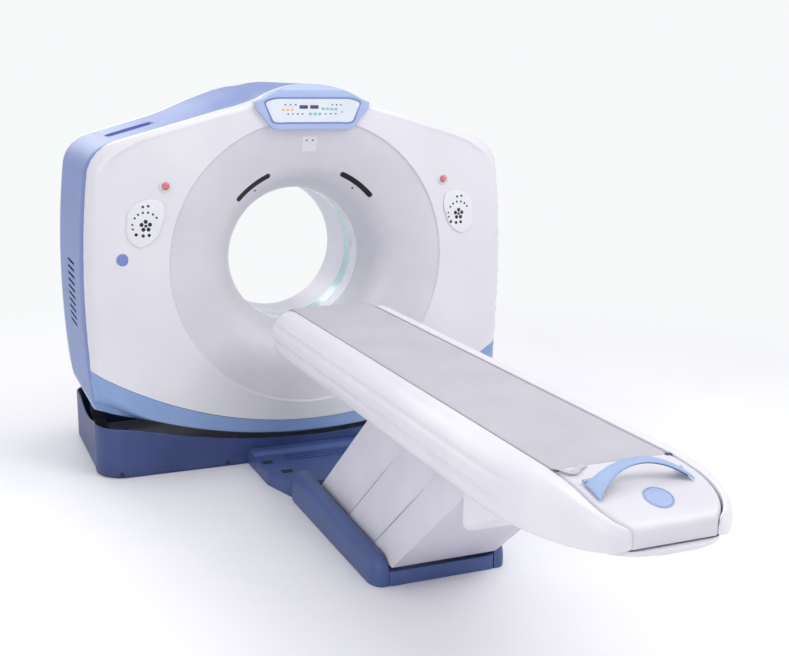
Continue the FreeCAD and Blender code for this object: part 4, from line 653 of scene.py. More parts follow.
def dressed(obj: bpy.types.Object, finish: Finish, body: str, *nodes: str,
            crease: float = 32.0) -> bpy.types.Object:
    """Give a piece its finish, shading, body and the plain solids it stands for.

    Args:
        obj: the piece.
        finish: its finish.
        body: the body that it moves with.
        nodes: plain nodes that it replaces.
        crease: sharpest angle in degrees that is still shaded smooth.

    Returns:
        The piece.
    """
    obj.data.materials.clear()
    obj.data.materials.append(finish.material())
    for face in obj.data.polygons:
        face.use_smooth = True
    obj.data.set_sharp_from_angle(angle=math.radians(crease))
    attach(obj, body)
    if nodes:
        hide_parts(*nodes)
    LOG.info("%s rides on %s, %d faces", obj.name, body, len(obj.data.polygons))
    return obj


def softened(node: str, finish: Finish, body: str, width: float,
             crease: float = 35.0) -> bpy.types.Object:
    """Stand a copy with rounded edges in for a plain node of the frame.

    Args:
        node: the plain node.
        finish: its finish.
        body: the body that it moves with.
        width: how wide its edges are rounded.
        crease: sharpest angle in degrees that is still shaded smooth.

    Returns:
        The copy.
    """
    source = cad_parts[node]
    work = bmesh.new()
    work.from_mesh(source.data)
    bmesh.ops.remove_doubles(work, verts=work.verts, dist=1e-5)
    bmesh.ops.dissolve_limit(work, angle_limit=math.radians(0.6), verts=work.verts,
                             edges=work.edges)
    mesh = bpy.data.meshes.new(node + "_soft")
    work.to_mesh(mesh)
    work.free()
    obj = bpy.data.objects.new(node + "_soft", mesh)
    bpy.context.scene.collection.objects.link(obj)
    modified(obj, "BEVEL", width=width, segments=3, limit_method="ANGLE",
             angle_limit=math.radians(28), miter_outer="MITER_ARC")
    return dressed(obj, finish, body, node, crease=crease)


# ------------------------------------------------------------------ gantry
# Height of the tilt axis, and the widest place of the side covers.
CENTRE_Z = 1.015
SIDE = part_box("right_side_cover")[1][0]
# The dish: radius of its mouth, where the bow of the front starts to carry it back, and
# its trumpet as radius and place along the bore.
MOUTH = 0.713
BOW_START = 0.470
TRUMPET = ((0.352, -0.147), (0.3595, -0.180), (0.3765, -0.235), (0.409, -0.296),
           (0.466, -0.345), (0.560, -0.389), (0.650, -0.425), (MOUTH - 0.009, -0.4425))
# The underside's reach from the tilt axis, and the radius of its bow from side to side.
SWEPT_REACH, SWEPT_BOW = 0.979, 3.080
# The curved light slots in the dish, and the stop buttons beside it.
LIGHT_ANGLE, LIGHT_RADIUS = 36.0, 0.468
STOP_X, STOP_Z = 0.717, 1.412
QUARTER_TURN = Matrix.Rotation(math.pi / 2, 4, "X")
BOTH_SIDES = ((-1, "left"), (1, "right"))


def swept_reach(x: float) -> float:
    """Reach of the body's underside from the tilt axis at a distance from the middle."""
    return SWEPT_REACH - (SWEPT_BOW - math.sqrt(SWEPT_BOW ** 2 - x * x))


def dish_depth(radius: float) -> float:
    """Place along the bore of the trumpet's surface at a radius, straight above the tunnel."""
    return curved(TRUMPET, radius)


@dataclass
class GantryForm:
    """Outer form of the tilting body, shared by all its covers; metres."""

    half_width: float = SIDE - 0.0008
    crown: float = 1.886
    front: float = -0.452
    rear: float = 0.500
    bow: float = 0.072
    seam_y: float = -0.340
    rear_seam_y: float = 0.399
    shoulder_x: float = 0.330
    shoulder_z: float = 1.790
    shoulder_slope: float = 0.285
    bend_x: float = 0.429
    crown_x: float = 0.2508
    corner_in: float = 0.173
    corner_drop: float = 0.1458
    side_in: float = 0.036
    widest_z: float = 0.840
    foot_in: float = 0.035
    foot_z: float = 0.335
    belly_z: float = 0.148
    wall: float = 0.005
    count: int = 300

    def bowed(self, x: float) -> float:
        """Place of the front face at a distance from the middle."""
        return self.front + self.bow * (x / self.half_width) ** 2

    def shoulder(self, x: float) -> float:
        """Height of the sloping shoulder at a distance from the middle."""
        return self.shoulder_z - self.shoulder_slope * (abs(x) - self.shoulder_x)

    def underside(self, x: float, y: float) -> float:
        """Height of the underside, which clears the floor at full tilt."""
        rise = self.foot_z - self.belly_z
        low = self.belly_z + rise * (x / (self.half_width - self.foot_in)) ** 2
        radius = swept_reach(x)
        return max(low, CENTRE_Z - math.sqrt(max(0.01, radius * radius - y * y)))

    def outline(self, y: float) -> list[tuple[float, float]]:
        """Front view of the body at one depth, clockwise from the top middle.

        Args:
            y: place along the bore axis, which sets the underside.

        Returns:
            Evenly spaced points (x, z), right half first, closed.
        """
        crown_x, bend_x = self.crown_x, self.bend_x
        crown_z = self.shoulder_z + self.shoulder_slope * self.shoulder_x * 0.27
        bend_z = self.shoulder(bend_x)
        corner_x, side_x = self.half_width - self.corner_in, self.half_width - self.side_in
        foot_x = self.half_width - self.foot_in
        corner = self.shoulder(corner_x)
        half = arc_points((-crown_x, crown_z), (0, self.crown), (crown_x, crown_z), 41)[20:]
        half += arc_points((crown_x, crown_z),
                           ((crown_x + bend_x) / 2, (crown_z + bend_z) / 2 - 0.004),
                           (bend_x, bend_z), 10)[1:]
        side_z = corner - self.corner_drop
        half += arc_points((corner_x, corner), (self.half_width - 0.0727, corner - 0.0635),
                           (side_x, side_z), 24)
        half += arc_points((side_x, side_z), (self.half_width, self.widest_z),
                           (foot_x, self.foot_z), 40)[1:]
        half = half[:-1]
        foot = self.underside(foot_x, y)
        half = [p for p in half if p[1] > foot + 0.004]
        half += [(foot_x * s, self.underside(foot_x * s, y))
                 for s in [1 - i / 40 for i in range(41)]]
        return mirrored(resampled(half, self.count // 2 + 1), closed=True)

    def edge_sizes(self, x: float, z: float) -> tuple[float, float]:
        """How far the rounded front edge reaches in and back at a place on the outline."""
        side = smooth_step(0.80, 1.06, abs(x))
        low = smooth_step(0.62, 0.40, z) if z < 0.62 else 0.0
        reach = 0.030 + 0.050 * side - 0.020 * low
        return reach, 0.040 + 0.072 * side - 0.030 * low

    def normals(self, points: Sequence[tuple[float, float]]) -> list[tuple[float, float]]:
        """Unit directions out of the outline at its points."""
        result = []
        count = len(points)
        for i in range(count):
            (x0, z0), (x1, z1) = points[i - 2], points[(i + 2) % count]
            size = math.hypot(x1 - x0, z1 - z0)
            result.append(((z1 - z0) / size, (x0 - x1) / size))
        return [(-nx, -nz) if nx * x + nz * (z - CENTRE_Z) < 0 else (nx, nz)
                for (nx, nz), (x, z) in zip(result, points)]

    def lag(self, radius: float, angle: float) -> float:
        """How far the bow of the front carries the trumpet's surface back."""
        share = max(0.0, (radius - BOW_START) / (MOUTH - BOW_START)) ** 1.6
        return share * (self.bowed(MOUTH * math.cos(angle)) - self.front)

    def hump(self, x: float, y: float) -> float:
        """Extra height of the top behind the console, where its valley fills up."""
        across = smooth_step(0.120, 0.290, abs(x)) * (1 - smooth_step(0.290, 0.660, abs(x)))
        return 0.036 * across * smooth_step(-0.325, -0.020, y)

    def rim(self, y: float, grow: float = 0.0) -> list[Point]:
        """Closed run round the body at one depth, rounded near its front and back faces.

        Args:
            y: place along the bore axis.
            grow: distance outwards, negative for inwards.

        Returns:
            The points of the run.
        """
        points = [(x, z + self.hump(x, y) if z > 1.3 else z) for x, z in self.outline(y)]
        row = []
        for (x, z), (nx, nz) in zip(points, self.normals(points)):
            reach, deep = self.edge_sizes(x, z)
            ahead = y - self.bowed(abs(x) - reach)
            inset = rolled_in(reach, (deep - ahead) / deep) if ahead < deep else 0.0
            back_deep = 0.040 + 0.050 * smooth_step(0.80, 1.06, abs(x))
            back_deep *= 0.45 + 0.55 * smooth_step(0.36, 0.80, z)
            behind = self.rear - y
            if behind < back_deep:
                inset += rolled_in(back_deep, (back_deep - behind) / back_deep)
            inset -= grow
            row.append((x - nx * inset, y, z - nz * inset))
        return row

    def front_rows(self, mouth: float) -> list[list[Point]]:
        """Rows of the front face from the mouth of the dish to the seam.

        Args:
            mouth: radius of the dish's mouth.

        Returns:
            Closed rows of equal length, inside first.
        """
        points = self.outline(self.front)
        normals = self.normals(points)
        rows, ring, inner = [], [], []
        for (x, z), (nx, nz) in zip(points, normals):
            reach, _ = self.edge_sizes(x, z)
            ring.append((x - nx * reach, z - nz * reach))
            angle = math.atan2(z - CENTRE_Z, x)
            inner.append((mouth * math.cos(angle), CENTRE_Z + mouth * math.sin(angle)))
        for k in range(15):
            share = (k / 14) ** 0.85
            row = []
            for (x0, z0), (x1, z1) in zip(inner, ring):
                x, z = x0 + (x1 - x0) * share, z0 + (z1 - z0) * share
                row.append((x, self.bowed(x), z))
            rows.append(row)
        for k in range(1, 13):
            row = []
            for (x, z), (nx, nz) in zip(points, normals):
                reach, deep = self.edge_sizes(x, z)
                face = self.bowed(abs(x) - reach)
                last = min(1.0, (self.seam_y - face) / deep)
                ahead = min(deep * (1 - math.cos(math.pi / 2 * k / 12)), last * deep)
                inset = rolled_in(reach, (deep - ahead) / deep)
                row.append((x - nx * inset, face + ahead, z - nz * inset))
            rows.append(row)
        rows.append([(x, self.seam_y, z) for x, _, z in self.rim(self.seam_y)])
        return rows


def dish_rows(form: GantryForm, points: Sequence[tuple[float, float]]) -> list[list[Point]]:
    """Rows of the trumpet from the tunnel's edge out to the mouth at the front face.

    Args:
        form: the gantry's outer form.
        points: outline points whose directions the rows follow.

    Returns:
        Closed rows, inside first, the last one at the mouth.
    """
    profile = flowing([(y, r) for r, y in TRUMPET], 40)
    profile += arc_points(profile[-1], (-0.4490, MOUTH - 0.0035), (form.front, MOUTH), 6)[1:]
    angles = [math.atan2(z - CENTRE_Z, x) for x, z in points]
    return [[(r * math.cos(a), y + form.lag(r, a), CENTRE_Z + r * math.sin(a))
             for a in angles] for y, r in profile]


@dataclass
class GantryCovers:
    """White front with its funnel, blue band, side, top, bottom and rear covers."""

    form: GantryForm
    gap: float = 0.0012
    smile_side: float = 0.548
    smile_middle: float = 0.212
    slot_width: float = 0.026
    slot_half_angle: float = 11.3
    side_strip: float = 0.179
    sill: float = 0.345
    flank: float = 0.840
    recess_x: float = 0.800
    recess_half: tuple = (0.115, 0.075)
    recess_corner: float = 0.030
    relief_at: tuple = (1.008, 0.330)
    relief_half: tuple = (0.037, 0.070)
    stop_hole: float = 0.0192
    vent_half: tuple = (0.115, 0.007)
    vent_count: int = 10
    vent_low: float = 0.700
    vent_pitch: float = 0.034

    def smile(self, gap: float) -> list[tuple[float, float]]:
        """Front outline of everything under the border between white and blue."""
        reach, side = self.form.half_width, self.smile_side + gap
        curve = arc_points((-reach, side), (0, self.smile_middle + gap), (reach, side), 120)
        return [(-1.5, -0.1), (-1.5, side)] + curve + [(1.5, side), (1.5, -0.1)]

    def front_shell(self) -> bpy.types.Object:
        """Thin solid of the whole front before it is split."""
        points = self.form.outline(self.form.front)
        rows = dish_rows(self.form, points)
        rows += self.form.front_rows(MOUTH)[1:]
        shell = new_object("front_shell", *grid(rows, around=True))
        return walled(shell, Vector((0, -1, 0)), self.form.wall)

    def build_front(self) -> None:
        """White front cover with its light slots, and the blue band under it."""
        shell = self.front_shell()
        band = shell.copy()
        band.data = shell.data.copy()
        band.name = "lower_band_cover"
        bpy.context.scene.collection.objects.link(band)
        carved(band, prism_y(self.smile(-self.gap), -0.6, 0.2), "INTERSECT")
        shell.name = "front_cover_shell"
        carved(shell, prism_y(self.smile(self.gap), -0.6, 0.2))
        for side in (-1, 1):
            carved(shell, self.slot_tool(side, self.slot_width / 2))
        dressed(shell, COVER_WHITE, "gantry", "front_cover")
        # Faces inside the mouth take the darker copy of the white: painted shade of the dish.
        shell.data.materials.append(DISH_WHITE_PAINTED_SHADE.material())
        for face in shell.data.polygons:
            if math.hypot(face.center.x, face.center.z - CENTRE_Z) < MOUTH - 0.004:
                face.material_index = 1
        for side in (-1, 1):
            hole = circle_points(side * STOP_X, STOP_Z, self.stop_hole, 40)
            carved(shell, prism_y(hole, -0.6, -0.1, "stop_hole"))
        dressed(band, BAND_BLUE, "gantry", "lower_band")

    def stand_relief(self, side: int) -> bpy.types.Object:
        """Block that opens the underside where a stand comes in at full tilt."""
        (x, z), (half_x, half_z) = self.relief_at, self.relief_half
        return prism_y(rounded_box(side * x, z, half_x, half_z, 0.006), -0.345, 0.380,
                       "stand_relief")

    def slot_tool(self, side: int, half: float) -> bpy.types.Object:
        """Curved slot with round ends, as a solid along the bore axis.

        Args:
            side: -1 for left, 1 for right.
            half: half its width.

        Returns:
            The solid.
        """
        middle = math.radians(90 - side * LIGHT_ANGLE)
        reach = math.radians(self.slot_half_angle)
        outline = []
        for radius, way in ((LIGHT_RADIUS + half, 1), (LIGHT_RADIUS - half, -1)):
            for i in range(17):
                angle = middle + way * reach * (1 - i / 8)
                outline.append((radius * math.cos(angle), CENTRE_Z + radius * math.sin(angle)))
            turn = middle - way * reach
            for i in range(1, 8):
                around = turn - math.pi * i / 8 + (0 if way > 0 else math.pi)
                cx = LIGHT_RADIUS * math.cos(turn)
                cz = CENTRE_Z + LIGHT_RADIUS * math.sin(turn)
                outline.append((cx + half * math.cos(around), cz + half * math.sin(around)))
        return prism_y(outline, -0.6, -0.1, "slot")

    def strip(self, name: str, keep: Callable[[float, float], bool],
              ends: tuple[float, float]) -> bpy.types.Object:
        """Part of the wall round the body between the front and rear seams.

        Args:
            name: the piece's name.
            keep: tells whether an outline point (x, z) belongs to it.
            ends: first and last place along the bore axis.

        Returns:
            The thin solid.
        """
        first, last = ends
        stations = [first, first + 0.0015, first + 0.006, first + 0.014]
        stations += [-0.315, -0.30, -0.285, -0.27]
        stations += [first + 0.09 + (last - first - 0.11) * i / 12 for i in range(13)]
        stations += [last - 0.006, last - 0.0015, last]
        stations = sorted(set(round(s, 5) for s in stations))
        base = self.form.outline(0.0)
        chosen = [i for i, (x, z) in enumerate(base) if keep(x, z)]
        breaks = [k for k in range(1, len(chosen)) if chosen[k] != chosen[k - 1] + 1]
        if breaks:
            chosen = chosen[breaks[0]:] + chosen[:breaks[0]]
        chosen.append((chosen[-1] + 1) % len(base))
        rows = []
        for y in stations:
            edge = min(y - first, last - y)
            lower = -0.0012 * (1 - min(1.0, edge / 0.0030)) ** 2
            row = self.form.rim(y, lower)
            line = [Vector(row[i]) for i in chosen]
            line[0] += (line[1] - line[0]).normalized() * 0.0006
            line[-1] += (line[-2] - line[-1]).normalized() * 0.0006
            rows.append([tuple(p) for p in line])
        shell = new_object(name, *grid(rows))
        return solid_wall(shell, self.form.wall)

    def build_sides(self) -> None:
        """Blue side covers with cooling slots, and the top and bottom covers."""
        seams = (self.form.seam_y + 0.0016, self.form.rear_seam_y - self.gap)
        edge, sill, flank = self.form.half_width - self.side_strip, self.sill, self.flank
        for side, label in BOTH_SIDES:
            cover = self.strip(label + "_side_panel",
                               lambda x, z: x * side > edge and z > sill, seams)
            carved(cover, self.vent_tool(side))
            dressed(cover, SIDE_BLUE, "gantry", label + "_side_cover")
        top = self.strip("top_panel", lambda x, z: abs(x) <= edge and z > flank, seams)
        for side in (-1, 1):
            carved(top, prism_z(self.recess(side), 1.50, 1.9))
            self.recess_tray(side)
        dressed(top, SIDE_BLUE, "gantry", "top_cover")
        bottom = self.strip("bottom_panel",
                            lambda x, z: (abs(x) <= edge or z <= sill) and z < flank, seams)
        for side in (-1, 1):
            carved(bottom, self.stand_relief(side))
        dressed(bottom, BAND_BLUE, "gantry", "bottom_cover")

    def recess(self, side: int, grow: float = 0.0) -> list[tuple[float, float]]:
        """Plan outline of a lifting recess in the top, grown outwards."""
        half_x, half_y = (half + grow for half in self.recess_half)
        return rounded_box(side * self.recess_x, 0.0, half_x, half_y,
                           max(0.006, self.recess_corner + grow))

    def recess_tray(self, side: int) -> None:
        """Smooth tray of a lifting recess in the top, in a darker blue that is painted shade."""
        rows = []
        for grow, drop in ((0.0015, -0.0006), (-0.002, 0.003), (-0.006, 0.014),
                           (-0.012, 0.0195), (-0.022, 0.022), (-0.050, 0.022)):
            rows.append([(x, y, self.form.shoulder(x) - drop)
                         for x, y in self.recess(side, grow)])
        verts, faces = grid(rows, around=True)
        last = len(rows) - 1
        width = len(rows[0])
        faces.append(tuple(range(last * width, (last + 1) * width)))
        tray = new_object("recess_tray_" + ("left" if side < 0 else "right"), verts, faces)
        walled(tray, Vector((0, 0, 1)), 0.003)
        dressed(tray, RECESS_BLUE_PAINTED_SHADE, "gantry")

    def vent_tool(self, side: int) -> bpy.types.Object:
        """All cooling slots of one side as one solid, rows of one slot by nodes."""
        half_y, half_z = self.vent_half
        slot = rounded_box(0.0, 0.0, half_y, half_z, 0.0066)
        rows = [[(side * x, y, z) for y, z in slot] for x in (0.9, 1.2)]
        seed = closed_solid("vent_slot", rows)
        points = [(0, 0, self.vent_low + half_z + i * self.vent_pitch)
                  for i in range(self.vent_count)]
        return repeated("vent_slots", seed, points)

    def build_rear(self) -> None:
        """Rear cover with the flare behind the tunnel."""
        form = self.form
        points = form.outline(form.rear)
        angles = [math.atan2(z - CENTRE_Z, x) for x, z in points]
        profile = arc_points((0.318, 0.352), (0.336, 0.364), (0.352, 0.387), 6)
        profile += [(0.352 + 0.140 * k / 8, 0.387 + 0.140 * k / 8) for k in range(1, 9)]
        profile += arc_points((0.492, 0.527), (0.4975, 0.536), (0.4998, 0.546), 4)[1:]
        rows = [[(r * math.cos(a), y, CENTRE_Z + r * math.sin(a)) for a in angles]
                for y, r in profile]
        edge = form.rim(form.rear - 1e-5)
        for k in range(1, 12):
            share = k / 11
            rows.append([(p[0] + (q[0] - p[0]) * share, form.rear,
                          p[2] + (q[2] - p[2]) * share)
                         for p, q in zip(rows[len(profile) - 1], edge)])
        first = form.rear_seam_y + self.gap
        back = []
        for k in range(1, 13):
            y = form.rear - 0.090 * (1 - math.cos(math.pi / 2 * k / 12))
            if y > first + 0.004:
                back.append(form.rim(y))
        rows += back + [form.rim(first + 0.003), form.rim(first, -0.0012)]
        shell = new_object("rear_cover_shell", *grid(rows, around=True))
        walled(shell, Vector((0, 1, 0)), form.wall)
        dressed(shell, COVER_WHITE, "gantry", "rear_cover", crease=55)


# ------------------------------------------------------------------ table top
@dataclass
class TableTop:
    """White side covers with two long grooves, and the housing under the foot end."""

    head: float = -0.742
    tip: float = -3.440
    wall: float = 0.004
    groove_depth: float = 0.0075
    groove_half: float = 0.0095
    groove_levels: tuple = (-0.3155, -0.6790)
    housing_head: float = -2.664
    housing_tip: float = -3.466
    rims: tuple = ((-3.440, 0.1420), (-3.425, 0.1620), (-3.400, 0.1820), (-3.360, 0.1985),
                   (-3.300, 0.2062), (-3.200, 0.2068), (-0.742, 0.2068))
    widths: tuple = ((-3.440, 0.1700), (-3.425, 0.1930), (-3.400, 0.2190), (-3.360, 0.2440),
                     (-3.300, 0.2680), (-3.220, 0.2880), (-3.100, 0.3060), (-2.980, 0.3150),
                     (-2.860, 0.3180), (-0.900, 0.3180))
    tops: tuple = ((-3.440, 0.7770), (-3.420, 0.7860), (-3.380, 0.8040), (-3.302, 0.8285),
                   (-3.220, 0.8415), (-3.130, 0.8475), (-3.050, 0.8485), (-0.742, 0.8485))
    bottoms: tuple = ((-3.440, 0.7120), (-3.400, 0.7060), (-3.340, 0.6980), (-3.250, 0.6870),
                      (-3.100, 0.6720), (-2.900, 0.6630), (-2.750, 0.6625), (-0.742, 0.6625))

    def section(self, y: float) -> list[tuple[float, float]]:
        """Skin of the right cover at one place along the table, rim to inner underside."""
        rim, half, top, bottom = (curved(table, y) for table in
                                  (self.rims, self.widths, self.tops, self.bottoms))
        wide, high = half - rim, top - bottom
        run = flowing([(0.045, -0.003), (0.16, 0.0), (0.30, -0.008), (0.50, -0.052),
                       (0.70, -0.150), (0.86, -0.262), (0.965, -0.375), (1.0, -0.50),
                       (1.0, -0.66), (0.985, -0.80), (0.945, -0.915), (0.87, -0.985),
                       (0.78, -1.0), (0.60, -1.0)], 72)
        strength = smooth_step(-3.20, -2.86, y) * smooth_step(-0.748, -0.80, y)
        points = [(rim, top - 0.030), (rim, top - 0.004), (rim + 0.0007, top - 0.0017)]
        for u, v in run:
            x, z = rim + u * wide, top + v * high
            for level in self.groove_levels:
                dip = math.exp(-((v - level) * high / self.groove_half) ** 4)
                x -= strength * self.groove_depth * dip * smooth_step(0.80, 0.95, u)
            points.append((x, z))
        return points + [(rim + 0.0157 * smooth_step(-2.90, -2.72, y), bottom)]

    def rounded_end(self, points: Sequence[tuple[float, float]], y: float,
                    end: float, reach: float) -> list[tuple[float, float]]:
        """Draw a section in towards its rim near an end of the cover."""
        open_share = quarter_rise(abs(y - end) / reach)
        share = 0.62 + 0.38 * open_share
        rim, top = points[0][0], points[2][1]
        return [(rim + (x - rim) * share,
                 top + (z - top) * share - 0.012 * (1 - open_share)) for x, z in points]

    def build_cover(self, side: int) -> None:
        """One long side cover."""
        turns = [1 - math.cos(math.pi / 2 * k / 9) for k in range(10)]
        stations = [self.head - 0.070 * t for t in turns]
        stations += [self.head - 0.070 - 0.12 * k for k in range(1, 17)]
        stations += [-2.80 - 0.0300 * k for k in range(1, 20)]
        stations += [self.tip + 0.060 * (1 - k / 12) ** 2 for k in range(13)]
        rows = []
        for y in sorted(stations, reverse=True):
            points = self.section(y)
            points = self.rounded_end(points, y, self.head, 0.070)
            points = self.rounded_end(points, y, self.tip, 0.014)
            rows.append([(side * x, y, z) for x, z in points])
        name = "left" if side < 0 else "right"
        cover = new_object(name + "_table_side", *grid(rows, ends=True))
        walled(cover, Vector((side, 0, 0)), self.wall)
        dressed(cover, TABLE_WHITE, "carriage", name + "_table_cover", crease=40)

    def build_housing(self) -> None:
        """Smooth boat-shaped housing under the foot end."""
        lows = [(-3.466, 0.7015), (-3.40, 0.6930), (-3.23, 0.6760), (-3.03, 0.6550),
                (-2.86, 0.5880), (-2.76, 0.5330), (-2.70, 0.5000), (-2.664, 0.4870)]
        halves = [(-3.466, 0.060), (-3.450, 0.118), (-3.42, 0.163), (-3.37, 0.192),
                  (-3.25, 0.222), (-3.10, 0.246), (-2.95, 0.2535), (-2.664, 0.2535)]
        tops = [(-3.466, 0.7140), (-3.23, 0.6960), (-3.15, 0.6900), (-2.664, 0.6900)]
        rows = []
        long = self.housing_head - self.housing_tip
        stations = [self.housing_tip + long * (k / 44) for k in range(45)]
        stations += [-3.463, -3.458, -3.441, -3.43, -2.669, -2.675]
        for y in sorted(stations):
            half, low, top = curved(halves, y), curved(lows, y), curved(tops, y)
            draw = 0.008 * (1 - quarter_rise((self.housing_head - y) / 0.012))
            low, half = low + draw, half - draw
            turn = min(0.030, (top - low) * 0.45, half * 0.4)
            right = [(half, top)]
            right += arc_points((half, low + turn), (half - turn * 0.293, low + turn * 0.293),
                                (half - turn, low), 8)
            right += [((half - turn) * (1 - k / 6), low) for k in range(1, 7)]
            rows.append([(x, y, z) for x, z in mirrored(right)])
        shell = closed_solid("foot_housing_shell", rows)
        dressed(shell, TABLE_WHITE, "carriage", "foot_housing", crease=40)

    def build(self) -> None:
        """Make the covers and the housing."""
        for side in (-1, 1):
            self.build_cover(side)
        self.build_housing()


# ------------------------------------------------------------------ cradle
@dataclass
class Cradle:
    """Padded sliding cradle with its tail block, clips, strap and release handle."""

    half: float = 0.203
    head: float = -0.674
    foot: float = -3.130
    crown: float = 0.044
    crown_z: float = 0.785
    pad_in: float = 0.0036
    pad_base: float = 0.8353
    pad_ends: tuple = (-3.124, -0.692)
    pad_seams: tuple = (-1.42, -2.28)
    cap_y: float = -3.352
    hinge: tuple = (-3.250, 0.8505)

    def underside(self, x: float) -> float:
        """Height of the crowned underside at a distance from the middle."""
        radius = (self.half ** 2 + self.crown ** 2) / (2 * self.crown)
        return self.crown_z + radius - math.sqrt(radius ** 2 - x ** 2)

    def build_shell(self) -> None:
        """Carbon shell with a smooth crowned underside and a rolled rim."""
        right = [(self.half - 0.0120, 0.8345), (self.half - 0.0030, 0.8350),
                 (self.half - 0.0007, 0.8343), (self.half, 0.8320)]
        right += [(x, self.underside(x)) for x in
                  [self.half * (1 - i / 24) for i in range(25)]]
        run = mirrored(right)
        rows = []
        for y, share in ((self.head, 0.982), (self.head - 0.002, 0.993),
                         (self.head - 0.006, 1.0), (-1.5, 1.0), (-2.4, 1.0),
                         (self.foot, 1.0)):
            rows.append([(x * share, y, 0.812 + (z - 0.812) * share) for x, z in run])
        shell = closed_solid("cradle_carbon_shell", rows)
        dressed(shell, CARBON_SKIN, "cradle", "cradle_shell", crease=35)

    def build_pad(self) -> None:
        """Thin mattress with rounded edges, a welt and stitched cross seams."""
        half, base = self.half - self.pad_in, self.pad_base
        ends, seams, count = self.pad_ends, self.pad_seams, 46
        stations = {ends[0], ends[1]}
        for k in range(1, 9):
            step = 0.012 * (1 - math.cos(math.pi / 2 * k / 8))
            stations |= {ends[0] + step, ends[1] - step}
        stations |= {ends[0] + 0.03 + (ends[1] - ends[0] - 0.06) * k / 60 for k in range(61)}
        for seam in seams:
            stations |= {seam + d for d in (-0.012, -0.006, -0.003, 0, 0.003, 0.006, 0.012)}
        rows = []
        for y in sorted(stations):
            edge = min(y - ends[0], ends[1] - y)
            lift = quarter_rise(edge / 0.012)
            dip = sum(0.0022 * math.exp(-((y - seam) / 0.0032) ** 2)
                      + 0.0010 * math.exp(-((y - seam) / 0.014) ** 2) for seam in seams)
            row = [(half, y, base)]
            for i in range(count + 1):
                x = half * math.cos(math.pi * i / count)
                side = half - abs(x)
                soft = 0.0016 * smooth_step(0.0, 0.14, side)
                welt = 0.0009 * math.exp(-((side - 0.013) / 0.0022) ** 2)
                wave = 0.0004 * math.sin(y * 31 + x * 23) * math.sin(y * 13.7 - x * 17)
                swell = 0.0112 + soft + wave - welt * 2 - dip
                z = base + swell * lift * (0.25 + 0.75 * quarter_rise(side / 0.010))
                row.append((x, y, min(z, 0.8498)))
            row.append((-half, y, base))
            rows.append(row)
        pad = closed_solid("cradle_mattress", rows)
        dressed(pad, PAD_CLOTH, "cradle", "cradle_pad", crease=60)
        cord = flowing([(half - 0.0012, ends[0] + 0.008, 0.8436)]
                       + [(half - 0.0012, y, 0.8436) for y in (-2.6, -1.9, -1.2)]
                       + [(half - 0.0012, ends[1] - 0.008, 0.8436)], 60)
        for side in (-1, 1):
            path = [(side * x, y, z) for x, y, z in cord]
            welt = tube("pad_welt_" + ("left" if side < 0 else "right"), path, 0.0011)
            dressed(welt, PAD_WELT, "cradle")

    def tail_top(self, y: float) -> float:
        """Height of the tail block's top."""
        return curved(((-3.442, 0.7820), (-3.420, 0.7890), (-3.380, 0.8070),
                       (-3.302, 0.8310), (-3.220, 0.8435), (-3.130, 0.8490)), y)

    def build_tail(self) -> None:
        """Smooth rounded end block behind the pad."""
        halves = ((-3.4420, 0.1340), (-3.4400, 0.1385), (-3.4250, 0.1585), (-3.4000, 0.1785),
                  (-3.3600, 0.1950), (-3.3000, 0.2027), (-3.2000, 0.2033), (-3.1300, 0.2033))
        stations = [-3.130, -3.1305, -3.133, -3.138, -3.15, -3.17, -3.19, -3.21, -3.23,
                    -3.25, -3.27, -3.29, -3.31, -3.33, -3.35, -3.365, -3.38, -3.39, -3.40,
                    -3.408, -3.416, -3.422, -3.428, -3.433, -3.437, -3.4395, -3.441, -3.442]
        rows = []
        for y in stations:
            half = curved(halves, y) - 0.0030
            top = self.tail_top(y) - 0.004 * (1 - quarter_rise((self.foot - y) / 0.005))
            top -= 0.024 * (1 - quarter_rise((y + 3.442) / 0.030))
            low = curved(((-3.442, 0.7200), (-3.438, 0.7172), (-3.42, 0.7172),
                          (-3.39, 0.7570), (-3.13, 0.7570)), y)
            turn = min(0.016, half * 0.45)
            right = [(half - 0.003, low), (half, low + 0.004)]
            right += arc_points((half, top - turn), (half - turn * 0.293, top - turn * 0.293),
                                (half - turn, top), 9)
            right += [((half - turn) * (1 - k / 8), top) for k in range(1, 9)]
            rows.append([(x, y, z) for x, z in mirrored(right)])
        block = closed_solid("tail_end_block", rows)
        dressed(block, TAIL_GREY, "cradle", "tail_block", crease=40)

    def build_cap(self) -> None:
        """Plain round cap on the tail block, in a shallow ring."""
        at = (0.0, self.cap_y, self.tail_top(self.cap_y))
        rise = self.tail_top(self.cap_y + 0.022) - self.tail_top(self.cap_y - 0.022)
        tilt = Matrix.Rotation(math.atan2(rise, 0.044), 4, "X")
        for name, finish, run in (
                ("tail_cap", CONSOLE_BLUE, [(0.0, 0.0048), (0.012, 0.0047), (0.024, 0.0042),
                                           (0.034, 0.0032), (0.0385, 0.0020), (0.040, 0.0005),
                                           (0.040, -0.004)]),
                ("tail_cap_ring", HANDLE_BLUE, [(0.0410, -0.003), (0.0410, 0.0016),
                                                (0.0425, 0.0022), (0.0445, 0.0018),
                                                (0.0455, 0.0004), (0.0455, -0.003)])):
            cap = placed(turned_solid(name, run), at, tilt)
            dressed(cap, finish, "cradle", crease=30)

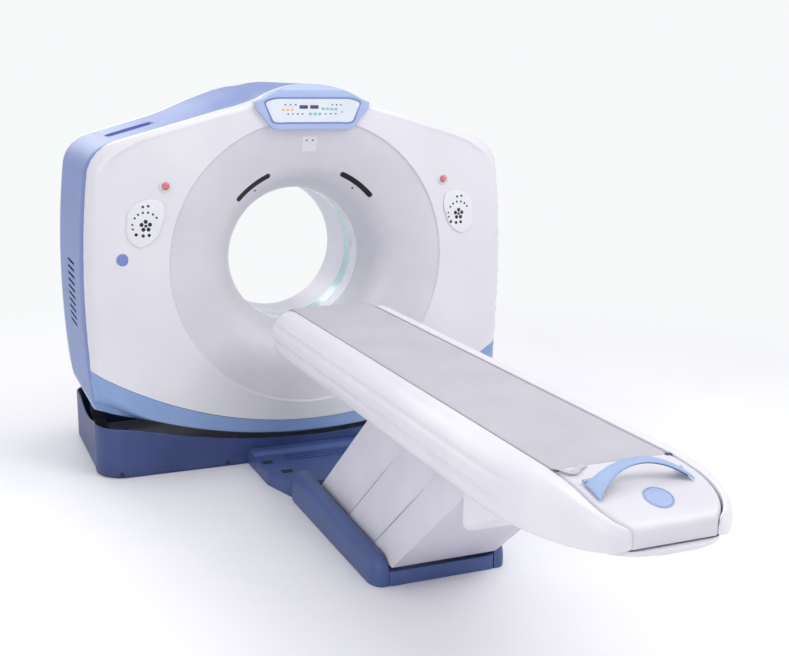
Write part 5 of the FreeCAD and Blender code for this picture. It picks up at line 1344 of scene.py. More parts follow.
    def build_clips(self) -> None:
        """Dark clips at the pad's foot corners, and the clear strap by the left one."""
        for side, name in BOTH_SIDES:
            rows = []
            for grow, z in ((0.0, 0.846), (0.0, 0.8505), (-0.0015, 0.8520), (-0.004, 0.8524)):
                ring = rounded_box(side * 0.188, -3.136, 0.0110 + grow, 0.0080 + grow, 0.004)
                rows.append([(x, y, z) for x, y in ring])
            clip = closed_solid(name + "_pad_clip", rows)
            dressed(clip, HANDLE_DARK, "cradle")
        run = flowing([(-0.199, -3.115, 0.8500), (-0.190, -3.150, 0.8545),
                       (-0.172, -3.185, 0.8535), (-0.150, -3.170, 0.8560),
                       (-0.128, -3.150, 0.8525), (-0.102, -3.135, 0.8515)], 26)
        rows = []
        for i, (x, y, z) in enumerate(run):
            ahead = Vector(run[min(i + 1, 25)]) - Vector(run[max(i - 1, 0)])
            across = ahead.cross(Vector((0, 0, 1))).normalized() * 0.011
            rows.append([(x + across.x, y + across.y, z), (x - across.x, y - across.y, z)])
        band = new_object("pad_strap", *grid(rows))
        flip_outwards(band, Vector((0, 0, 1)))
        modified(band, "SOLIDIFY", thickness=0.0012, offset=0.0)
        dressed(band, STRAP_CLEAR, "cradle")

    def build_handle(self) -> None:
        """Arched release handle: broad left foot, slim arch, dark grip underneath."""
        count = 40
        arch, grip = [], []
        for i in range(count + 1):
            share = i / count
            x = -0.180 + 0.3312 * share
            rise = 0.052 * 4 * share * (1 - share)
            broad = 0.052 * (1 - share) ** 4.0
            reach = 0.027 + 0.006 * share + broad + 0.016 * share ** 6
            front = -3.246 - 0.016 * (2 * share - 1) ** 2
            rows = ([], [], [])
            for k in range(9):
                v = k / 8
                y = front - reach * v
                edge = 0.0030 * (1 - math.sqrt(max(0.0, 1 - abs(2 * v - 1) ** 5)))
                base = self.tail_top(min(-3.135, y)) + 0.0014 + rise
                rows[0].append((x, y, base + 0.0098 - edge))
                rows[1].append((x, y, base + 0.0022 + edge * 0.4))
                rows[2].append((x, front - 0.003 - (reach - 0.006) * v, base + 0.0002))
            arch.append(rows[0] + rows[1][::-1])
            grip.append([(px, py, pz + 0.0026) for px, py, pz in rows[2]] + rows[2][::-1])
        handle = new_object("release_arch", *grid(arch, around=True, ends=True))
        dressed(handle, HANDLE_BLUE, "handle", "release_handle", crease=40)
        under = new_object("release_grip", *grid(grip[2:-2], around=True, ends=True))
        dressed(under, HANDLE_DARK, "handle", crease=40)
        for x, long, name in ((-0.180, 0.034, "left"), (0.1332, 0.018, "right")):
            pin = turned_solid(name + "_handle_hub",
                               [(0.0, long), (0.0052, long), (0.0062, long - 0.001),
                                (0.0062, 0.001), (0.0052, 0.0), (0.0, 0.0)], 28)
            placed(pin, (x, *self.hinge), Matrix.Rotation(math.pi / 2, 4, "Y"))
            dressed(pin, HANDLE_BLUE, "handle", crease=35)
        screw = turned_solid("handle_screw", [(0.0, 0.0026), (0.0030, 0.0022), (0.0046, 0.0008),
                                              (0.0048, -0.002), (0.0, -0.002)], 24)
        placed(screw, (-0.163, -3.330, self.tail_top(-3.330) + 0.0160))
        dressed(screw, BRIGHT_STEEL, "handle", crease=30)

    def build(self) -> None:
        """Make the whole cradle."""
        self.build_shell()
        self.build_pad()
        self.build_tail()
        self.build_cap()
        self.build_clips()
        self.build_handle()


# ------------------------------------------------------------------ base and pedestal
@dataclass
class Base:
    """Navy base moulding, floor bridge, pods and pedals."""

    half: float = 1.070
    front: float = -0.428
    rear: float = 0.470
    cut: float = 0.1232
    anchors: tuple = (-0.972, -0.447, 0.447, 0.972)
    anchor_z: float = 0.0190
    bridge_height: float = 0.066
    bridge_start: float = -0.4283
    bridge_end: float = -0.9597
    pedals: tuple = (("raise_pedal", -0.300, -0.626), ("lower_pedal", -0.248, -0.782))
    pod_x: float = 0.2285
    pod_start: float = -0.960
    pod_end: float = -2.005

    def plan(self, grow: float) -> list[tuple[float, float]]:
        """Outline of the base seen from above, closed, evenly spread."""
        half, front, rear = self.half + grow, self.front - grow, self.rear + grow
        cut = self.cut
        corner = arc_points((half - cut * 0.9, front), (half - cut * 0.22, front + cut * 0.42),
                            (half, front + cut * 1.5), 24)
        back = arc_points((half, rear - cut), (half - cut * 0.29, rear - cut * 0.29),
                          (half - cut, rear), 16)
        middle = (half - cut * 0.9) / 42
        run = [(middle * i, front) for i in range(42)] + corner
        run += [(half, front + cut * 1.5 + (rear - front - cut * 2.5) * k / 16)
                for k in range(1, 16)]
        run += back + [(half - cut - (half - cut) * k / 30, rear) for k in range(1, 31)]
        return mirrored(run, closed=True)

    def lip(self, x: float, y: float) -> float:
        """Height of the moulding's upper edge, which clears the tilting underside."""
        reach = swept_reach(x) + 0.010
        swept = CENTRE_Z - math.sqrt(max(0.01, reach * reach - y * y))
        shown = curved(((0.0, 0.122), (0.32, 0.136), (0.63, 0.178), (0.75, 0.204),
                        (0.85, 0.226), (0.95, 0.246), (1.10, 0.252)), abs(x))
        half = (shown - swept + 0.001) / 2
        return (shown + swept - 0.001) / 2 - math.sqrt(half * half + 0.004 ** 2)

    def build_skirt(self) -> None:
        """Base moulding with a rounded upper edge and a shadow gap at the floor."""
        rows = []
        for grow, level in ((-0.0065, 0.0), (-0.0060, 0.006), (-0.0005, 0.010),
                            (0.0, 0.014), (0.0, 0.35), (0.0, 0.70), (0.0, 0.90),
                            (0.0, 0.965), (-0.0006, 0.985), (-0.0022, 0.996),
                            (-0.0042, 1.0), (-0.0062, 0.996), (-0.0076, 0.985),
                            (-0.0080, 0.96), (-0.0080, 0.30), (-0.0080, 0.0)):
            row = []
            for x, y in self.plan(grow):
                high = self.lip(x, y)
                row.append((x, y, level if level < 0.02 else high * level))
            rows.append(row)
        rows.append(rows[0])
        skirt = new_object("base_moulding", *grid(rows, around=True))
        for x in self.anchors:
            carved(skirt, prism_y(circle_points(x, self.anchor_z, 0.0125, 20), -0.5, -0.38))
            side, place = "left" if x < 0 else "right", "outer" if abs(x) > 0.7 else "inner"
            plug = prism_y(circle_points(x, self.anchor_z, 0.0120, 20), -0.4262, -0.4205,
                           f"anchor_plug_{side}_{place}")
            dressed(plug, RUBBER_BLACK_AND_PAINTED_SHADE, "root", crease=40)
        dressed(skirt, BASE_NAVY, "root", "base_skirt", crease=35)

    def build_bridge(self) -> None:
        """Low floor cover between base and table, with cross grooves and a step."""
        height, start, end = self.bridge_height, self.bridge_start, self.bridge_end
        outline = [(-0.340, start), (-0.340, start - 0.330), (-0.282, end), (0.262, end),
                   (0.262, start)]
        ring = []
        for i, (x, y) in enumerate(outline):
            before, after = outline[i - 1], outline[(i + 1) % 5]
            if i in (0, 4):
                ring += [(x, y)] * 5
                continue
            first = Vector((before[0] - x, before[1] - y)).normalized() * 0.018
            second = Vector((after[0] - x, after[1] - y)).normalized() * 0.018
            for k in range(5):
                t = k / 4
                p = Vector((x, y)) + first * (1 - t) ** 2 + second * t * t
                ring.append((p.x, p.y))
        rows = []
        centre = (-0.03, -0.69)
        for inset, drop in ((0.0, height), (0.0, 0.0075), (0.0008, 0.0035), (0.0028, 0.0009),
                            (0.0060, 0.0), (0.10, 0.0)):
            row = []
            for x, y in ring:
                away = Vector((x - centre[0], y - centre[1]))
                away *= (1 - inset / away.length)
                row.append((centre[0] + away.x, max(end, min(start, centre[1] + away.y)),
                            height - drop))
            rows.append(row)
        cover = closed_solid("bridge_cover", rows)
        for i in range(3):
            y = start - 0.134 - i * 0.034
            carved(cover, prism_z(rounded_box(-0.010, y, 0.192, 0.0060, 0.0055), 0.0615, 0.08))
        for _, x, y in self.pedals:
            carved(cover, prism_z(rounded_box(x, y, 0.028, 0.023, 0.004), 0.036, 0.08))
        dressed(cover, POD_NAVY, "root", "floor_bridge", crease=35)
        step = [(start, 0.0), (start, 0.0770), (start - 0.006, 0.0815), (start - 0.014, 0.0825),
                (start - 0.064, 0.0825), (start - 0.074, 0.0805), (start - 0.092, 0.0675),
                (start - 0.097, 0.0655), (start - 0.097, 0.0)]
        rows = []
        for x, draw in ((-0.3398, 0.004), (-0.3370, 0.0012), (-0.331, 0.0), (0.253, 0.0),
                        (0.2590, 0.0012), (0.2618, 0.004)):
            rows.append([(x, min(start, y + draw * 0.5), max(0.0, z - draw)) for y, z in step])
        riser = closed_solid("bridge_step", rows)
        dressed(riser, POD_NAVY, "root", crease=35)

    def build_pedals(self) -> None:
        """Two rubber topped foot pedals with raised ribs."""
        for name, x, y in self.pedals:
            rows = []
            for grow, z in ((-0.001, 0.052), (0.0, 0.053), (0.0, 0.0605), (-0.0008, 0.0622),
                            (-0.0026, 0.0629)):
                ring = rounded_box(x, y, 0.025 + grow, 0.020 + grow, 0.004 + grow)
                rows.append([(px, py, z) for px, py in ring])
            tread = closed_solid(name + "_tread", rows)
            dressed(tread, RUBBER_BLACK_AND_PAINTED_SHADE, name, name, crease=35)
            seed = new_object("rib", *grid([[(px, py, z) for px, py in
                                             rounded_box(0, 0, 0.018, 0.0014, 0.0012, 3)]
                                            for z in (0.0, 0.0010)], around=True, ends=True))
            ribs = repeated(name + "_ribs", seed,
                            [(x, y - 0.012 + 0.006 * k, 0.0627) for k in range(5)])
            dressed(ribs, RUBBER_BLACK_AND_PAINTED_SHADE, name, crease=35)

    def build_pods(self) -> None:
        """Smooth rounded pods beside the table's foot, lower towards the foot end."""
        for side, name in BOTH_SIDES:
            rows = []
            stations = [-0.960, -0.9606, -0.963, -0.968, -0.977, -0.99, -1.01, -1.035]
            stations += [-1.06 - 0.86 * k / 12 for k in range(13)]
            stations += [-1.945, -1.965, -1.98, -1.99, -1.997, -2.002, -2.0045, -2.005]
            for y in stations:
                high = 0.150 - 0.032 * smooth_step(-1.02, -1.94, y) if y > -1.94 else 0.118
                near = quarter_rise((self.pod_start - y) / 0.075)
                far = quarter_rise((y - self.pod_end) / 0.075)
                high *= (near * 0.62 + 0.38) * (far * 0.52 + 0.48)
                wide = 0.0675 * (0.70 + 0.30 * near)
                wide *= 0.30 + 0.70 * far
                run = [(self.pod_x, high * v) for v in (0.0, 0.4, 0.8, 0.93)]
                run += flowing([(self.pod_x + 0.001, high * 0.975), (self.pod_x + 0.006, high)]
                               + [(self.pod_x + wide * u, high * v) for u, v in
                                  ((0.34, 1.0), (0.62, 0.945), (0.84, 0.80), (0.97, 0.55),
                                   (1.0, 0.30))]
                               + [(self.pod_x + wide * 0.985, 0.004)], 26)
                run += [(self.pod_x + wide * 0.96, 0.0)]
                rows.append([(side * x, y, z) for x, z in run])
            pod = closed_solid(name + "_pod_cover", rows)
            dressed(pod, POD_NAVY, "root", name + "_pod", crease=42)

    def build(self) -> None:
        """Make every floor piece."""
        self.build_skirt()
        self.build_bridge()
        self.build_pedals()
        self.build_pods()


# ------------------------------------------------------------------ lift panels
@dataclass
class LiftPanels:
    """White side panels of the lift with dark strips of painted seam shade on their edges, and the
    plinth below.
    """

    lean: float = 40.0
    pivot_z: float = 0.170
    rear_pivot_y: float = -2.033
    sheet: float = 0.004

    def place(self, pivot_y: float, across: float, height: float) -> tuple[float, float]:
        """Point (y, z) of a panel at a distance across its link and a height."""
        turn = math.radians(self.lean)
        along = (height - self.pivot_z - across * math.cos(turn)) / math.sin(turn)
        return pivot_y - along * math.cos(turn) + across * math.sin(turn), height

    def sheet_solid(self, name: str, x: float, side: int,
                    points: Sequence[tuple[float, float]]) -> bpy.types.Object:
        """One thin sheet with softened edges, its outer face at a distance from the middle."""
        rows = [[(side * w, y, z) for y, z in points] for w in (x - self.sheet, x)]
        plate = closed_solid(name, rows)
        return modified(plate, "BEVEL", width=0.0012, segments=3, limit_method="ANGLE")

    def seam_shade_strip(self, name: str, x: float, side: int, pivot_y: float, across: float,
             low: float, high: float, body: str) -> None:
        """Dark strip on the leading edge of a panel, painted shade of the seam, thinner towards
        its top.
        """
        path = []
        for k in range(15):
            y, z = self.place(pivot_y, across, low + (high - low) * k / 14)
            path.append((side * (x - 0.0004), y + 0.0008, z))
        rows = []
        for k, (px, y, z) in enumerate(path):
            size = 0.0017 * (1 - 0.75 * smooth_step(0.55, 1.0, k / 14))
            rows.append([(px + side * 0.7 * u, y + v, z)
                         for u, v in circle_points(0.0, 0.0, size, 8)])
        strip = closed_solid(name, rows)
        dressed(strip, RUBBER_BLACK_AND_PAINTED_SHADE, body)

    def build_panels(self) -> None:
        """All sheets: the front pair innermost, the rear one with its cross panel."""
        shapes = (
            ("front", "front_panels", "front_leg_panels", 0.211, -1.465,
             ((-0.155, 0.088), (0.0, 0.088), (0.155, 0.109), (0.155, 0.655), (-0.155, 0.655))),
            ("middle", "middle_panels", "middle_leg_panels", 0.2175, -1.824,
             ((-0.0906, 0.088), (0.01875, 0.088), (0.1452, 0.109), (0.1452, 0.655),
              (-0.0906, 0.655))),
            ("rear", "rear_panel", "rear_leg_panel", 0.224, self.rear_pivot_y,
             ((-0.059, 0.084), (0.0295, 0.084), (0.059, 0.0987), (0.0824, 0.1239),
              (0.0824, 0.6025), (-0.059, 0.6025))))
        for label, body, node, x, pivot_y, corners in shapes:
            points = [self.place(pivot_y, w, z) for w, z in corners]
            for side, name in BOTH_SIDES:
                plate = self.sheet_solid(f"{name}_{label}_panel", x, side, points)
                dressed(plate, PANEL_WHITE, body, node, crease=35)
                if label != "front":
                    self.seam_shade_strip(f"{name}_{label}_seal", x, side, pivot_y, max(w for w, _ in corners),
                              0.125, 0.50, body)
        rows = []
        for along, deep in ((0.084, -0.059), (0.6025, -0.059), (0.6025, -0.055),
                            (0.084, -0.055)):
            rows.append(self.place(self.rear_pivot_y, deep, along))
        cross = new_object("rear_cross_panel", *grid(
            [[(x, y, z) for y, z in rows] for x in (-0.2215, 0.2215)], around=True, ends=True))
        modified(cross, "BEVEL", width=0.0012, segments=3, limit_method="ANGLE")
        dressed(cross, PANEL_WHITE, "rear_panel", crease=35)

    def build(self) -> None:
        """Make the panels and the plinth."""
        self.build_panels()
        softened("foot_plinth", POD_NAVY, "root", 0.005)


# ------------------------------------------------------------------ gantry fittings
@dataclass
class Fittings:
    """Console, keypads, stop buttons, light windows, intercom and small trim."""

    form: GantryForm
    keypad_x: float = 0.8145
    keypad_z: float = 1.240
    key_proud: float = 0.0080
    window_half_angle: float = 12.6
    intercom_z: float = 1.597
    film_front: float = -0.4686
    film_low: float = 1.6985
    film_high: float = 1.8080

    def disc(self, name: str, radius: float, thick: float, steps: int = 28) -> bpy.types.Object:
        """Round button about the origin, its softened face towards the table."""
        run = [(0.0, 0.0), (radius * 0.70, 0.0), (radius * 0.93, thick * 0.12),
               (radius, thick * 0.38), (radius, thick), (0.0, thick)]
        return placed(turned_solid(name, [(r, -z) for r, z in run], steps), (0, 0, 0),
                      QUARTER_TURN)

    def buttons(self, name: str, radius: float, places: Sequence[tuple[float, float]],
                finish: Finish) -> None:
        """Equal round buttons standing on the bowed front at places (x, z)."""
        seed = self.disc("seed", radius, 0.0030)
        points = [(x, self.form.bowed(x) - self.key_proud, z) for x, z in places]
        obj = repeated(name, seed, points, finish)
        dressed(obj, finish, "gantry", crease=40)

    def build_keypads(self) -> None:
        """Keypad films with a fan of buttons round a four way pad."""
        softened("keypads", KEYPAD_FILM, "gantry", 0.0022)
        for side, name in BOTH_SIDES:
            cx, cz = side * self.keypad_x, self.keypad_z
            fan = [(cx + 0.058 * math.cos(math.radians(a)), cz + 0.052 * math.sin(math.radians(a)))
                   for a in (30, 54, 78, 102, 126, 150)]
            low = (cx, cz - 0.012)
            pad = [(low[0] + 0.0205 * math.cos(math.radians(a)),
                    low[1] + 0.0205 * math.sin(math.radians(a))) for a in (18, 90, 162, 234, 306)]
            self.buttons(name + "_fan_buttons", 0.0056, fan, RING_RESIN)
            self.buttons(name + "_upper_keys", 0.0066,
                         [(cx - 0.011, cz + 0.078), (cx + 0.014, cz + 0.081)], RING_RESIN)
            self.buttons(name + "_pad_keys", 0.0098, pad, BUTTON_BLACK)
            self.buttons(name + "_pad_middle", 0.0078, [low], RING_RESIN)
            self.buttons(name + "_lower_keys", 0.0080,
                         [(cx - 0.046, cz - 0.052), (cx - 0.014, cz - 0.058),
                          (cx + 0.014, cz - 0.056)], BUTTON_BLACK)
            self.buttons(name + "_edge_keys", 0.0050,
                         [(cx - 0.062, cz - 0.004), (cx - 0.060, cz - 0.026)], RING_RESIN)

    def build_lights(self) -> None:
        """Smoked windows set a little back in the two slots, each with a sensor dot."""
        reach = self.window_half_angle
        for side, name in BOTH_SIDES:
            rows = []
            for k in range(29):
                angle = math.radians(90 - side * (LIGHT_ANGLE - reach + 2 * reach * k / 28))
                rows.append([(r * math.cos(angle), dish_depth(r) + 0.0042
                              + self.form.lag(r, angle), CENTRE_Z + r * math.sin(angle))
                             for r in (0.4535, 0.461, 0.468, 0.475, 0.4825)])
            pane = new_object(name + "_light_window", *grid(rows))
            walled(pane, Vector((0, -1, 0)), 0.0030)
            dressed(pane, LASER_BLACK, "gantry", "laser_windows", crease=40)
            angle = math.radians(90 - side * LIGHT_ANGLE)
            r = 0.436
            dot = self.disc(name + "_light_sensor", 0.0062, 0.004)
            slope = math.atan2(dish_depth(r + 0.01) - dish_depth(r - 0.01), 0.02)
            placed(dot, (r * math.cos(angle), dish_depth(r) - 0.0008,
                         CENTRE_Z + r * math.sin(angle)),
                   Matrix.Rotation(math.pi / 2 - angle, 4, "Y")
                   @ Matrix.Rotation(-slope, 4, "X"))
            dressed(dot, LASER_BLACK, "gantry", crease=40)

    def build_intercom(self) -> None:
        """Small plain plate above the tunnel with two dark dots."""
        rows = []
        for grow, lift in ((0.0, -0.001), (0.0, 0.0018), (-0.0010, 0.0026), (-0.0030, 0.0030),
                           (-0.020, 0.0030)):
            ring = rounded_box(0.0, self.intercom_z, 0.039 + grow, 0.039 + grow, 0.007)
            rows.append([(x, self.wall_y(x, z) - lift, z) for x, z in ring])
        verts, faces = grid(rows, around=True)
        width = len(rows[0])
        faces.append(tuple(range(4 * width, 5 * width)))
        plate = new_object("intercom_cover", verts, faces)
        walled(plate, Vector((0, -1, 0)), 0.0020)
        dressed(plate, COVER_WHITE, "gantry", "intercom_plate", crease=35)
        for x, name in ((-0.0156, "left"), (0.0156, "right")):
            dot = self.disc(name + "_intercom_dot", 0.0048, 0.0030)
            z = self.intercom_z + 0.021
            placed(dot, (x, self.wall_y(x, z) - 0.0040, z), Matrix.Rotation(-0.42, 4, "X"))
            dressed(dot, BUTTON_BLACK, "gantry", crease=40)

    def wall_y(self, x: float, z: float) -> float:
        """Place of the trumpet's surface under a front view point."""
        radius = math.hypot(x, z - CENTRE_Z)
        return dish_depth(radius) + self.form.lag(radius, math.atan2(z - CENTRE_Z, x))

    def build_console(self) -> None:
        """Console frame, display film, its blue border and the printed cells."""
        softened("console_housing", CONSOLE_BLUE, "gantry", 0.0050)
        film = self.film_outline(0.0)
        rim = self.film_outline(0.0085)
        front = self.film_front
        panel = prism_y(film, front, front + 0.0012, "display_film")
        dressed(panel, SCREEN_PANEL, "gantry", "console_display", crease=30)
        rows = []
        for ring, y in ((film, front + 0.0010), (film, front - 0.0004),
                        (self.film_outline(0.0015), front - 0.0010),
                        (self.film_outline(0.0070), front - 0.0010), (rim, front - 0.0004),
                        (rim, front + 0.0010)):
            rows.append([(x, y, z) for x, z in ring])
        trim = new_object("display_border", *grid(rows + rows[:1], around=True))
        dressed(trim, SIDE_BLUE, "gantry", crease=40)
        self.cells("display_dark_cells", BUTTON_BLACK, 0.0040, 0.0030,
                   [(-0.142 + 0.026 * k, 1.776) for k in range(3)]
                   + [(0.096 + 0.022 * k, 1.776) for k in range(3)]
                   + [(-0.128 + 0.024 * k, 1.733) for k in range(4)]
                   + [(0.062 + 0.026 * k, 1.733) for k in range(3)])
        self.cells("display_readouts", RING_RESIN, 0.0215, 0.0085,
                   [(-0.050, 1.766), (0.004, 1.766)])
        self.cells("display_teal_cells", KEY_TEAL, 0.0085, 0.0062,
                   [(0.048, 1.758), (0.070, 1.758), (0.092, 1.756), (0.114, 1.756),
                    (-0.016, 1.733), (0.008, 1.733), (0.032, 1.733)])
        self.cells("display_amber_cells", KEY_AMBER, 0.0060, 0.0050,
                   [(-0.152, 1.752), (-0.130, 1.752), (-0.108, 1.752), (0.146, 1.742)])

    def film_outline(self, grow: float) -> list[tuple[float, float]]:
        """Arched outline of the display with round ends, grown outwards."""
        result = []
        low, high = self.film_low - grow, self.film_high + grow
        for u, v in rounded_box(0.0, 0.0, 1.0, 1.0, 0.30, 10):
            share = (v + 1) / 2
            half = 0.196 + 0.050 * share + grow
            z = low + (high - low) * share + 0.016 * (1 - u * u)
            result.append((u * half, z))
        return resampled(result + result[:1], 121)[:-1]

    def cells(self, name: str, finish: Finish, half_u: float, half_v: float,
              places: Sequence[tuple[float, float]]) -> None:
        """Equal printed cells on the console's display film, by nodes."""
        rows = []
        for grow, y in ((-0.0003, 0.0007), (0.0, 0.0004), (0.0, -0.0004)):
            ring = rounded_box(0.0, 0.0, half_u + grow, half_v + grow, half_v * 0.45, 4)
            rows.append([(x, -y, z) for x, z in ring])
        seed = closed_solid("seed", rows)
        points = [(x, self.film_front + 0.0002, z + 0.012) for x, z in places]
        obj = repeated(name, seed, points, finish)
        dressed(obj, finish, "gantry", crease=40)

    def build_stops(self) -> None:
        """Red mushroom buttons in their pale collars."""
        softened("stop_collars", COVER_WHITE, "gantry", 0.0012)
        for side, name in BOTH_SIDES:
            at = (side * STOP_X, self.form.bowed(STOP_X), STOP_Z)
            head = turned_solid(name + "_stop_head",
                                [(0.0, 0.0150), (0.006, 0.0148), (0.0110, 0.0138),
                                 (0.0145, 0.0118), (0.0164, 0.0090), (0.0168, 0.0070),
                                 (0.0160, 0.0052), (0.0125, 0.0044), (0.0120, -0.004),
                                 (0.0, -0.004)], 48)
            placed(head, at, QUARTER_TURN)
            dressed(head, STOP_RED, name + "_stop", name + "_stop_button", crease=40)
            ring = turned_solid(name + "_stop_ring",
                                [(0.0235, -0.001), (0.0235, 0.0062), (0.0246, 0.0072),
                                 (0.0262, 0.0066), (0.0275, 0.0040), (0.0280, -0.001)], 48)
            placed(ring, at, QUARTER_TURN)
            dressed(ring, KEYPAD_FILM, "gantry", crease=40)

    def build_cap(self) -> None:
        """Plain round cap under the left keypad."""
        cap = self.disc("front_round_cap", 0.029, 0.0036, 48)
        placed(cap, (-0.925, self.form.bowed(0.925) - 0.0030, 1.070))
        dressed(cap, SIDE_BLUE, "gantry", crease=40)

    def build_index_mark(self) -> None:
        """Short dark mark on the tunnel's right wall."""
        rows = []
        for y in (-0.062, -0.0605):
            rows.append([(0.3494 * math.cos(a), y, CENTRE_Z + 0.3494 * math.sin(a))
                         for a in [math.radians(2 + 0.5 * k) for k in range(15)]])
        mark = new_object("index_mark", *grid(rows))
        modified(mark, "SOLIDIFY", thickness=0.0006, offset=0.0)
        dressed(mark, RUBBER_BLACK_AND_PAINTED_SHADE, "gantry")

    def build(self) -> None:
        """Make all fittings."""
        self.build_console()
        self.build_keypads()
        self.build_stops()
        self.build_lights()
        self.build_intercom()
        self.build_cap()
        self.build_index_mark()


# ------------------------------------------------------------------ studio
@dataclass
class Studio:
    """Floor, backdrop, lamps and the camera of the photograph's view."""

    place: Point = (-1.83814, -5.79894, 1.94571)
    pitch: float = 12.5686
    yaw: float = 23.1209
    roll: float = -0.6916
    lens: float = 52.338

    def build(self) -> None:
        """Set up the stage, the lamps, the world and the camera."""
        self.camera()
        floor_finish = Finish("painted_floor_pale", "F1F1F3", "ECECEF", Grain.SMOOTH,
                              roughness=0.55, patch_mm=900)
        rows = [[(x, y, -0.0005) for x in (-14, 14)] for y in (-12, 14)]
        floor = new_object("studio_floor", *grid(rows))
        floor.data.materials.append(self.floor_material(floor_finish))
        scene = bpy.context.scene
        scene.view_settings.view_transform = "Standard"
        world = bpy.data.worlds.new("studio_world")
        world.use_nodes = True
        tree = world.node_tree
        tree.nodes.clear()
        path = add_node(tree, "ShaderNodeLightPath")
        light = add_node(tree, "ShaderNodeBackground",
                         {"Color": linear("F5F5F8"), "Strength": 0.80})
        back = add_node(tree, "ShaderNodeBackground",
                        {"Color": linear("FBFCFD"), "Strength": 0.97})
        mix = add_node(tree, "ShaderNodeMixShader",
                       links={0: path.outputs["Is Camera Ray"], 1: light.outputs[0],
                              2: back.outputs[0]})
        add_node(tree, "ShaderNodeOutputWorld", links={"Surface": mix.outputs[0]})
        scene.world = world
        self.lamp("key_softbox", (3.4, -4.8, 5.2), (0, -1.0, 0.9), 3.2, 160)
        self.lamp("fill_softbox", (-4.6, -5.4, 3.2), (0, -0.8, 0.9), 3.0, 78)
        self.lamp("top_softbox", (0.2, -0.6, 6.0), (0, -0.8, 0.8), 4.0, 84)
        self.lamp("rear_softbox", (-1.5, 5.5, 4.0), (0, 0.3, 1.0), 3.0, 90)

    def floor_material(self, finish: Finish) -> bpy.types.Material:
        """Floor paint that turns into a lit cyclorama away from the machine."""
        material = finish.material()
        tree = material.node_tree
        out = next(n for n in tree.nodes if n.type == "OUTPUT_MATERIAL")
        paint = out.inputs["Surface"].links[0].from_socket
        place = add_node(tree, "ShaderNodeTexCoord")
        away = add_node(tree, "ShaderNodeVectorMath",
                        {"operation": "DISTANCE", 1: (0.0, -1.2, 0.0)},
                        {0: place.outputs["Object"]})
        fade = add_node(tree, "ShaderNodeMapRange",
                        {"interpolation_type": "SMOOTHSTEP", "From Min": 2.2,
                         "From Max": 5.4}, {"Value": away.outputs["Value"]})
        glow = add_node(tree, "ShaderNodeEmission",
                        {"Color": linear("FBFCFD"), "Strength": 0.97})
        mix = add_node(tree, "ShaderNodeMixShader",
                       links={0: fade.outputs["Result"], 1: paint, 2: glow.outputs[0]})
        tree.links.new(mix.outputs[0], out.inputs["Surface"])
        return material

    def lamp(self, name: str, at: Point, to: Point, size: float, power: float) -> None:
        """Add one square softbox.

        Args:
            name: the lamp's name.
            at: its place.
            to: what it points at.
            size: its edge length.
            power: its power in watts.
        """
        data = bpy.data.lights.new(name, "AREA")
        data.shape = "SQUARE"
        data.size = size
        data.energy = power
        lamp = bpy.data.objects.new(name, data)
        lamp.location = at
        aim = Vector(to) - Vector(at)
        lamp.rotation_euler = aim.to_track_quat("-Z", "Y").to_euler()
        bpy.context.scene.collection.objects.link(lamp)

    def camera(self) -> None:
        """Place the camera where the photograph was taken from."""
        pitch, yaw, roll = (math.radians(v) for v in (self.pitch, self.yaw, self.roll))
        ahead = Vector((math.sin(yaw) * math.cos(pitch), math.cos(yaw) * math.cos(pitch),
                        -math.sin(pitch)))
        right = Vector((math.cos(yaw), -math.sin(yaw), 0))
        down = ahead.cross(right)
        turned = right * math.cos(roll) + down * math.sin(roll)
        below = down * math.cos(roll) - right * math.sin(roll)
        matrix = Matrix([turned, -below, -ahead]).transposed().to_4x4()
        matrix.translation = Vector(self.place)
        data = bpy.data.cameras.new("photo_view")
        data.sensor_width = 36
        data.lens = self.lens
        data.clip_end = 100
        camera = bpy.data.objects.new("photo_view", data)
        camera.matrix_world = matrix
        bpy.context.scene.collection.objects.link(camera)
        bpy.context.scene.camera = camera


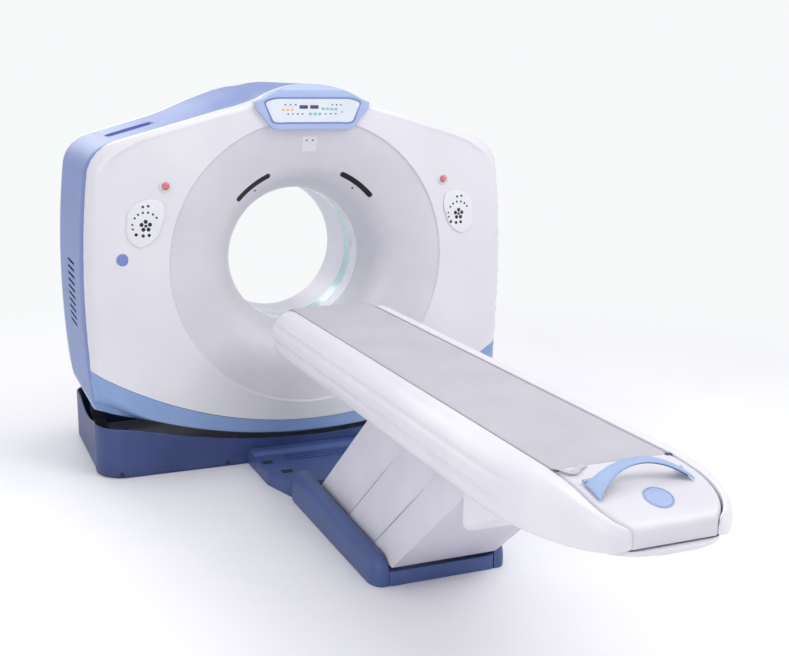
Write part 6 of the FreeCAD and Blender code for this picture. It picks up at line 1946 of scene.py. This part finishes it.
NODE_FINISHES: dict[str, Finish] = {
    # The stands inside the base take the black finish as painted shade of the dark inside.
    "floor_plate": STEEL_PAINT, "left_stand": RUBBER_BLACK_AND_PAINTED_SHADE, "right_stand": RUBBER_BLACK_AND_PAINTED_SHADE,
    "pivot_pins": BRIGHT_STEEL, "tilt_frame": CAST_PAINT,
    "bearing_outer_race": BRIGHT_STEEL, "rotor_drum": ALLOY, "slip_ring": RING_RESIN,
    "xray_tube": STEEL_PAINT, "collimator": ALLOY, "detector_array": RING_RESIN,
    "power_supply": STEEL_PAINT, "heat_exchanger": ALLOY,
    "balance_weights": CAST_PAINT, "drive_motor": STEEL_PAINT,
    "drive_pulley": BRIGHT_STEEL, "drive_belt": BELT_RUBBER,
    "table_base": STEEL_PAINT, "front_leg": CAST_PAINT, "rear_leg": CAST_PAINT,
    "carriage_frame": CAST_PAINT, "cradle_truck": ALLOY,
    "floor_pivot_pins": BRIGHT_STEEL, "carriage_pivot_pins": BRIGHT_STEEL,
    "slide_strips": RING_RESIN, "front_bore_liner": LINER_WHITE,
    "rear_bore_liner": LINER_WHITE, "scan_window": WINDOW_FILM,
    "front_cover": COVER_WHITE, "rear_cover": COVER_WHITE, "lower_band": BAND_BLUE,
    "left_side_cover": SIDE_BLUE, "right_side_cover": SIDE_BLUE,
    "top_cover": SIDE_BLUE, "bottom_cover": BAND_BLUE, "base_skirt": BASE_NAVY,
    "floor_bridge": POD_NAVY, "left_pod": POD_NAVY, "right_pod": POD_NAVY,
    "foot_plinth": POD_NAVY, "left_table_cover": TABLE_WHITE,
    "right_table_cover": TABLE_WHITE, "foot_housing": TABLE_WHITE,
    "cradle_shell": CARBON_SKIN, "cradle_pad": PAD_CLOTH, "tail_block": TAIL_GREY,
    "release_handle": HANDLE_BLUE, "front_leg_panels": PANEL_WHITE,
    "middle_leg_panels": PANEL_WHITE, "rear_leg_panel": PANEL_WHITE,
    "console_housing": CONSOLE_BLUE, "console_display": SCREEN_PANEL,
    "laser_windows": LASER_BLACK, "keypads": KEYPAD_FILM,
    "stop_collars": BAND_BLUE, "left_stop_button": STOP_RED,
    "right_stop_button": STOP_RED, "intercom_plate": COVER_WHITE,
    "raise_pedal": RUBBER_BLACK_AND_PAINTED_SHADE, "lower_pedal": RUBBER_BLACK_AND_PAINTED_SHADE,
}


def dress_nodes() -> None:
    """Give every plain node its finish; those shown as they are keep it."""
    for name, finish in NODE_FINISHES.items():
        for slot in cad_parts[name].material_slots:
            slot.material = finish.material()


def main() -> None:
    """Build the scanner's looks from the gantry outwards and report each piece."""
    Studio().build()
    dress_nodes()
    covers = GantryCovers(GantryForm())
    covers.build_front()
    covers.build_sides()
    covers.build_rear()
    TableTop().build()
    Cradle().build()
    Base().build()
    LiftPanels().build()
    Fittings(covers.form).build()


if __name__ == "__main__":
    main()
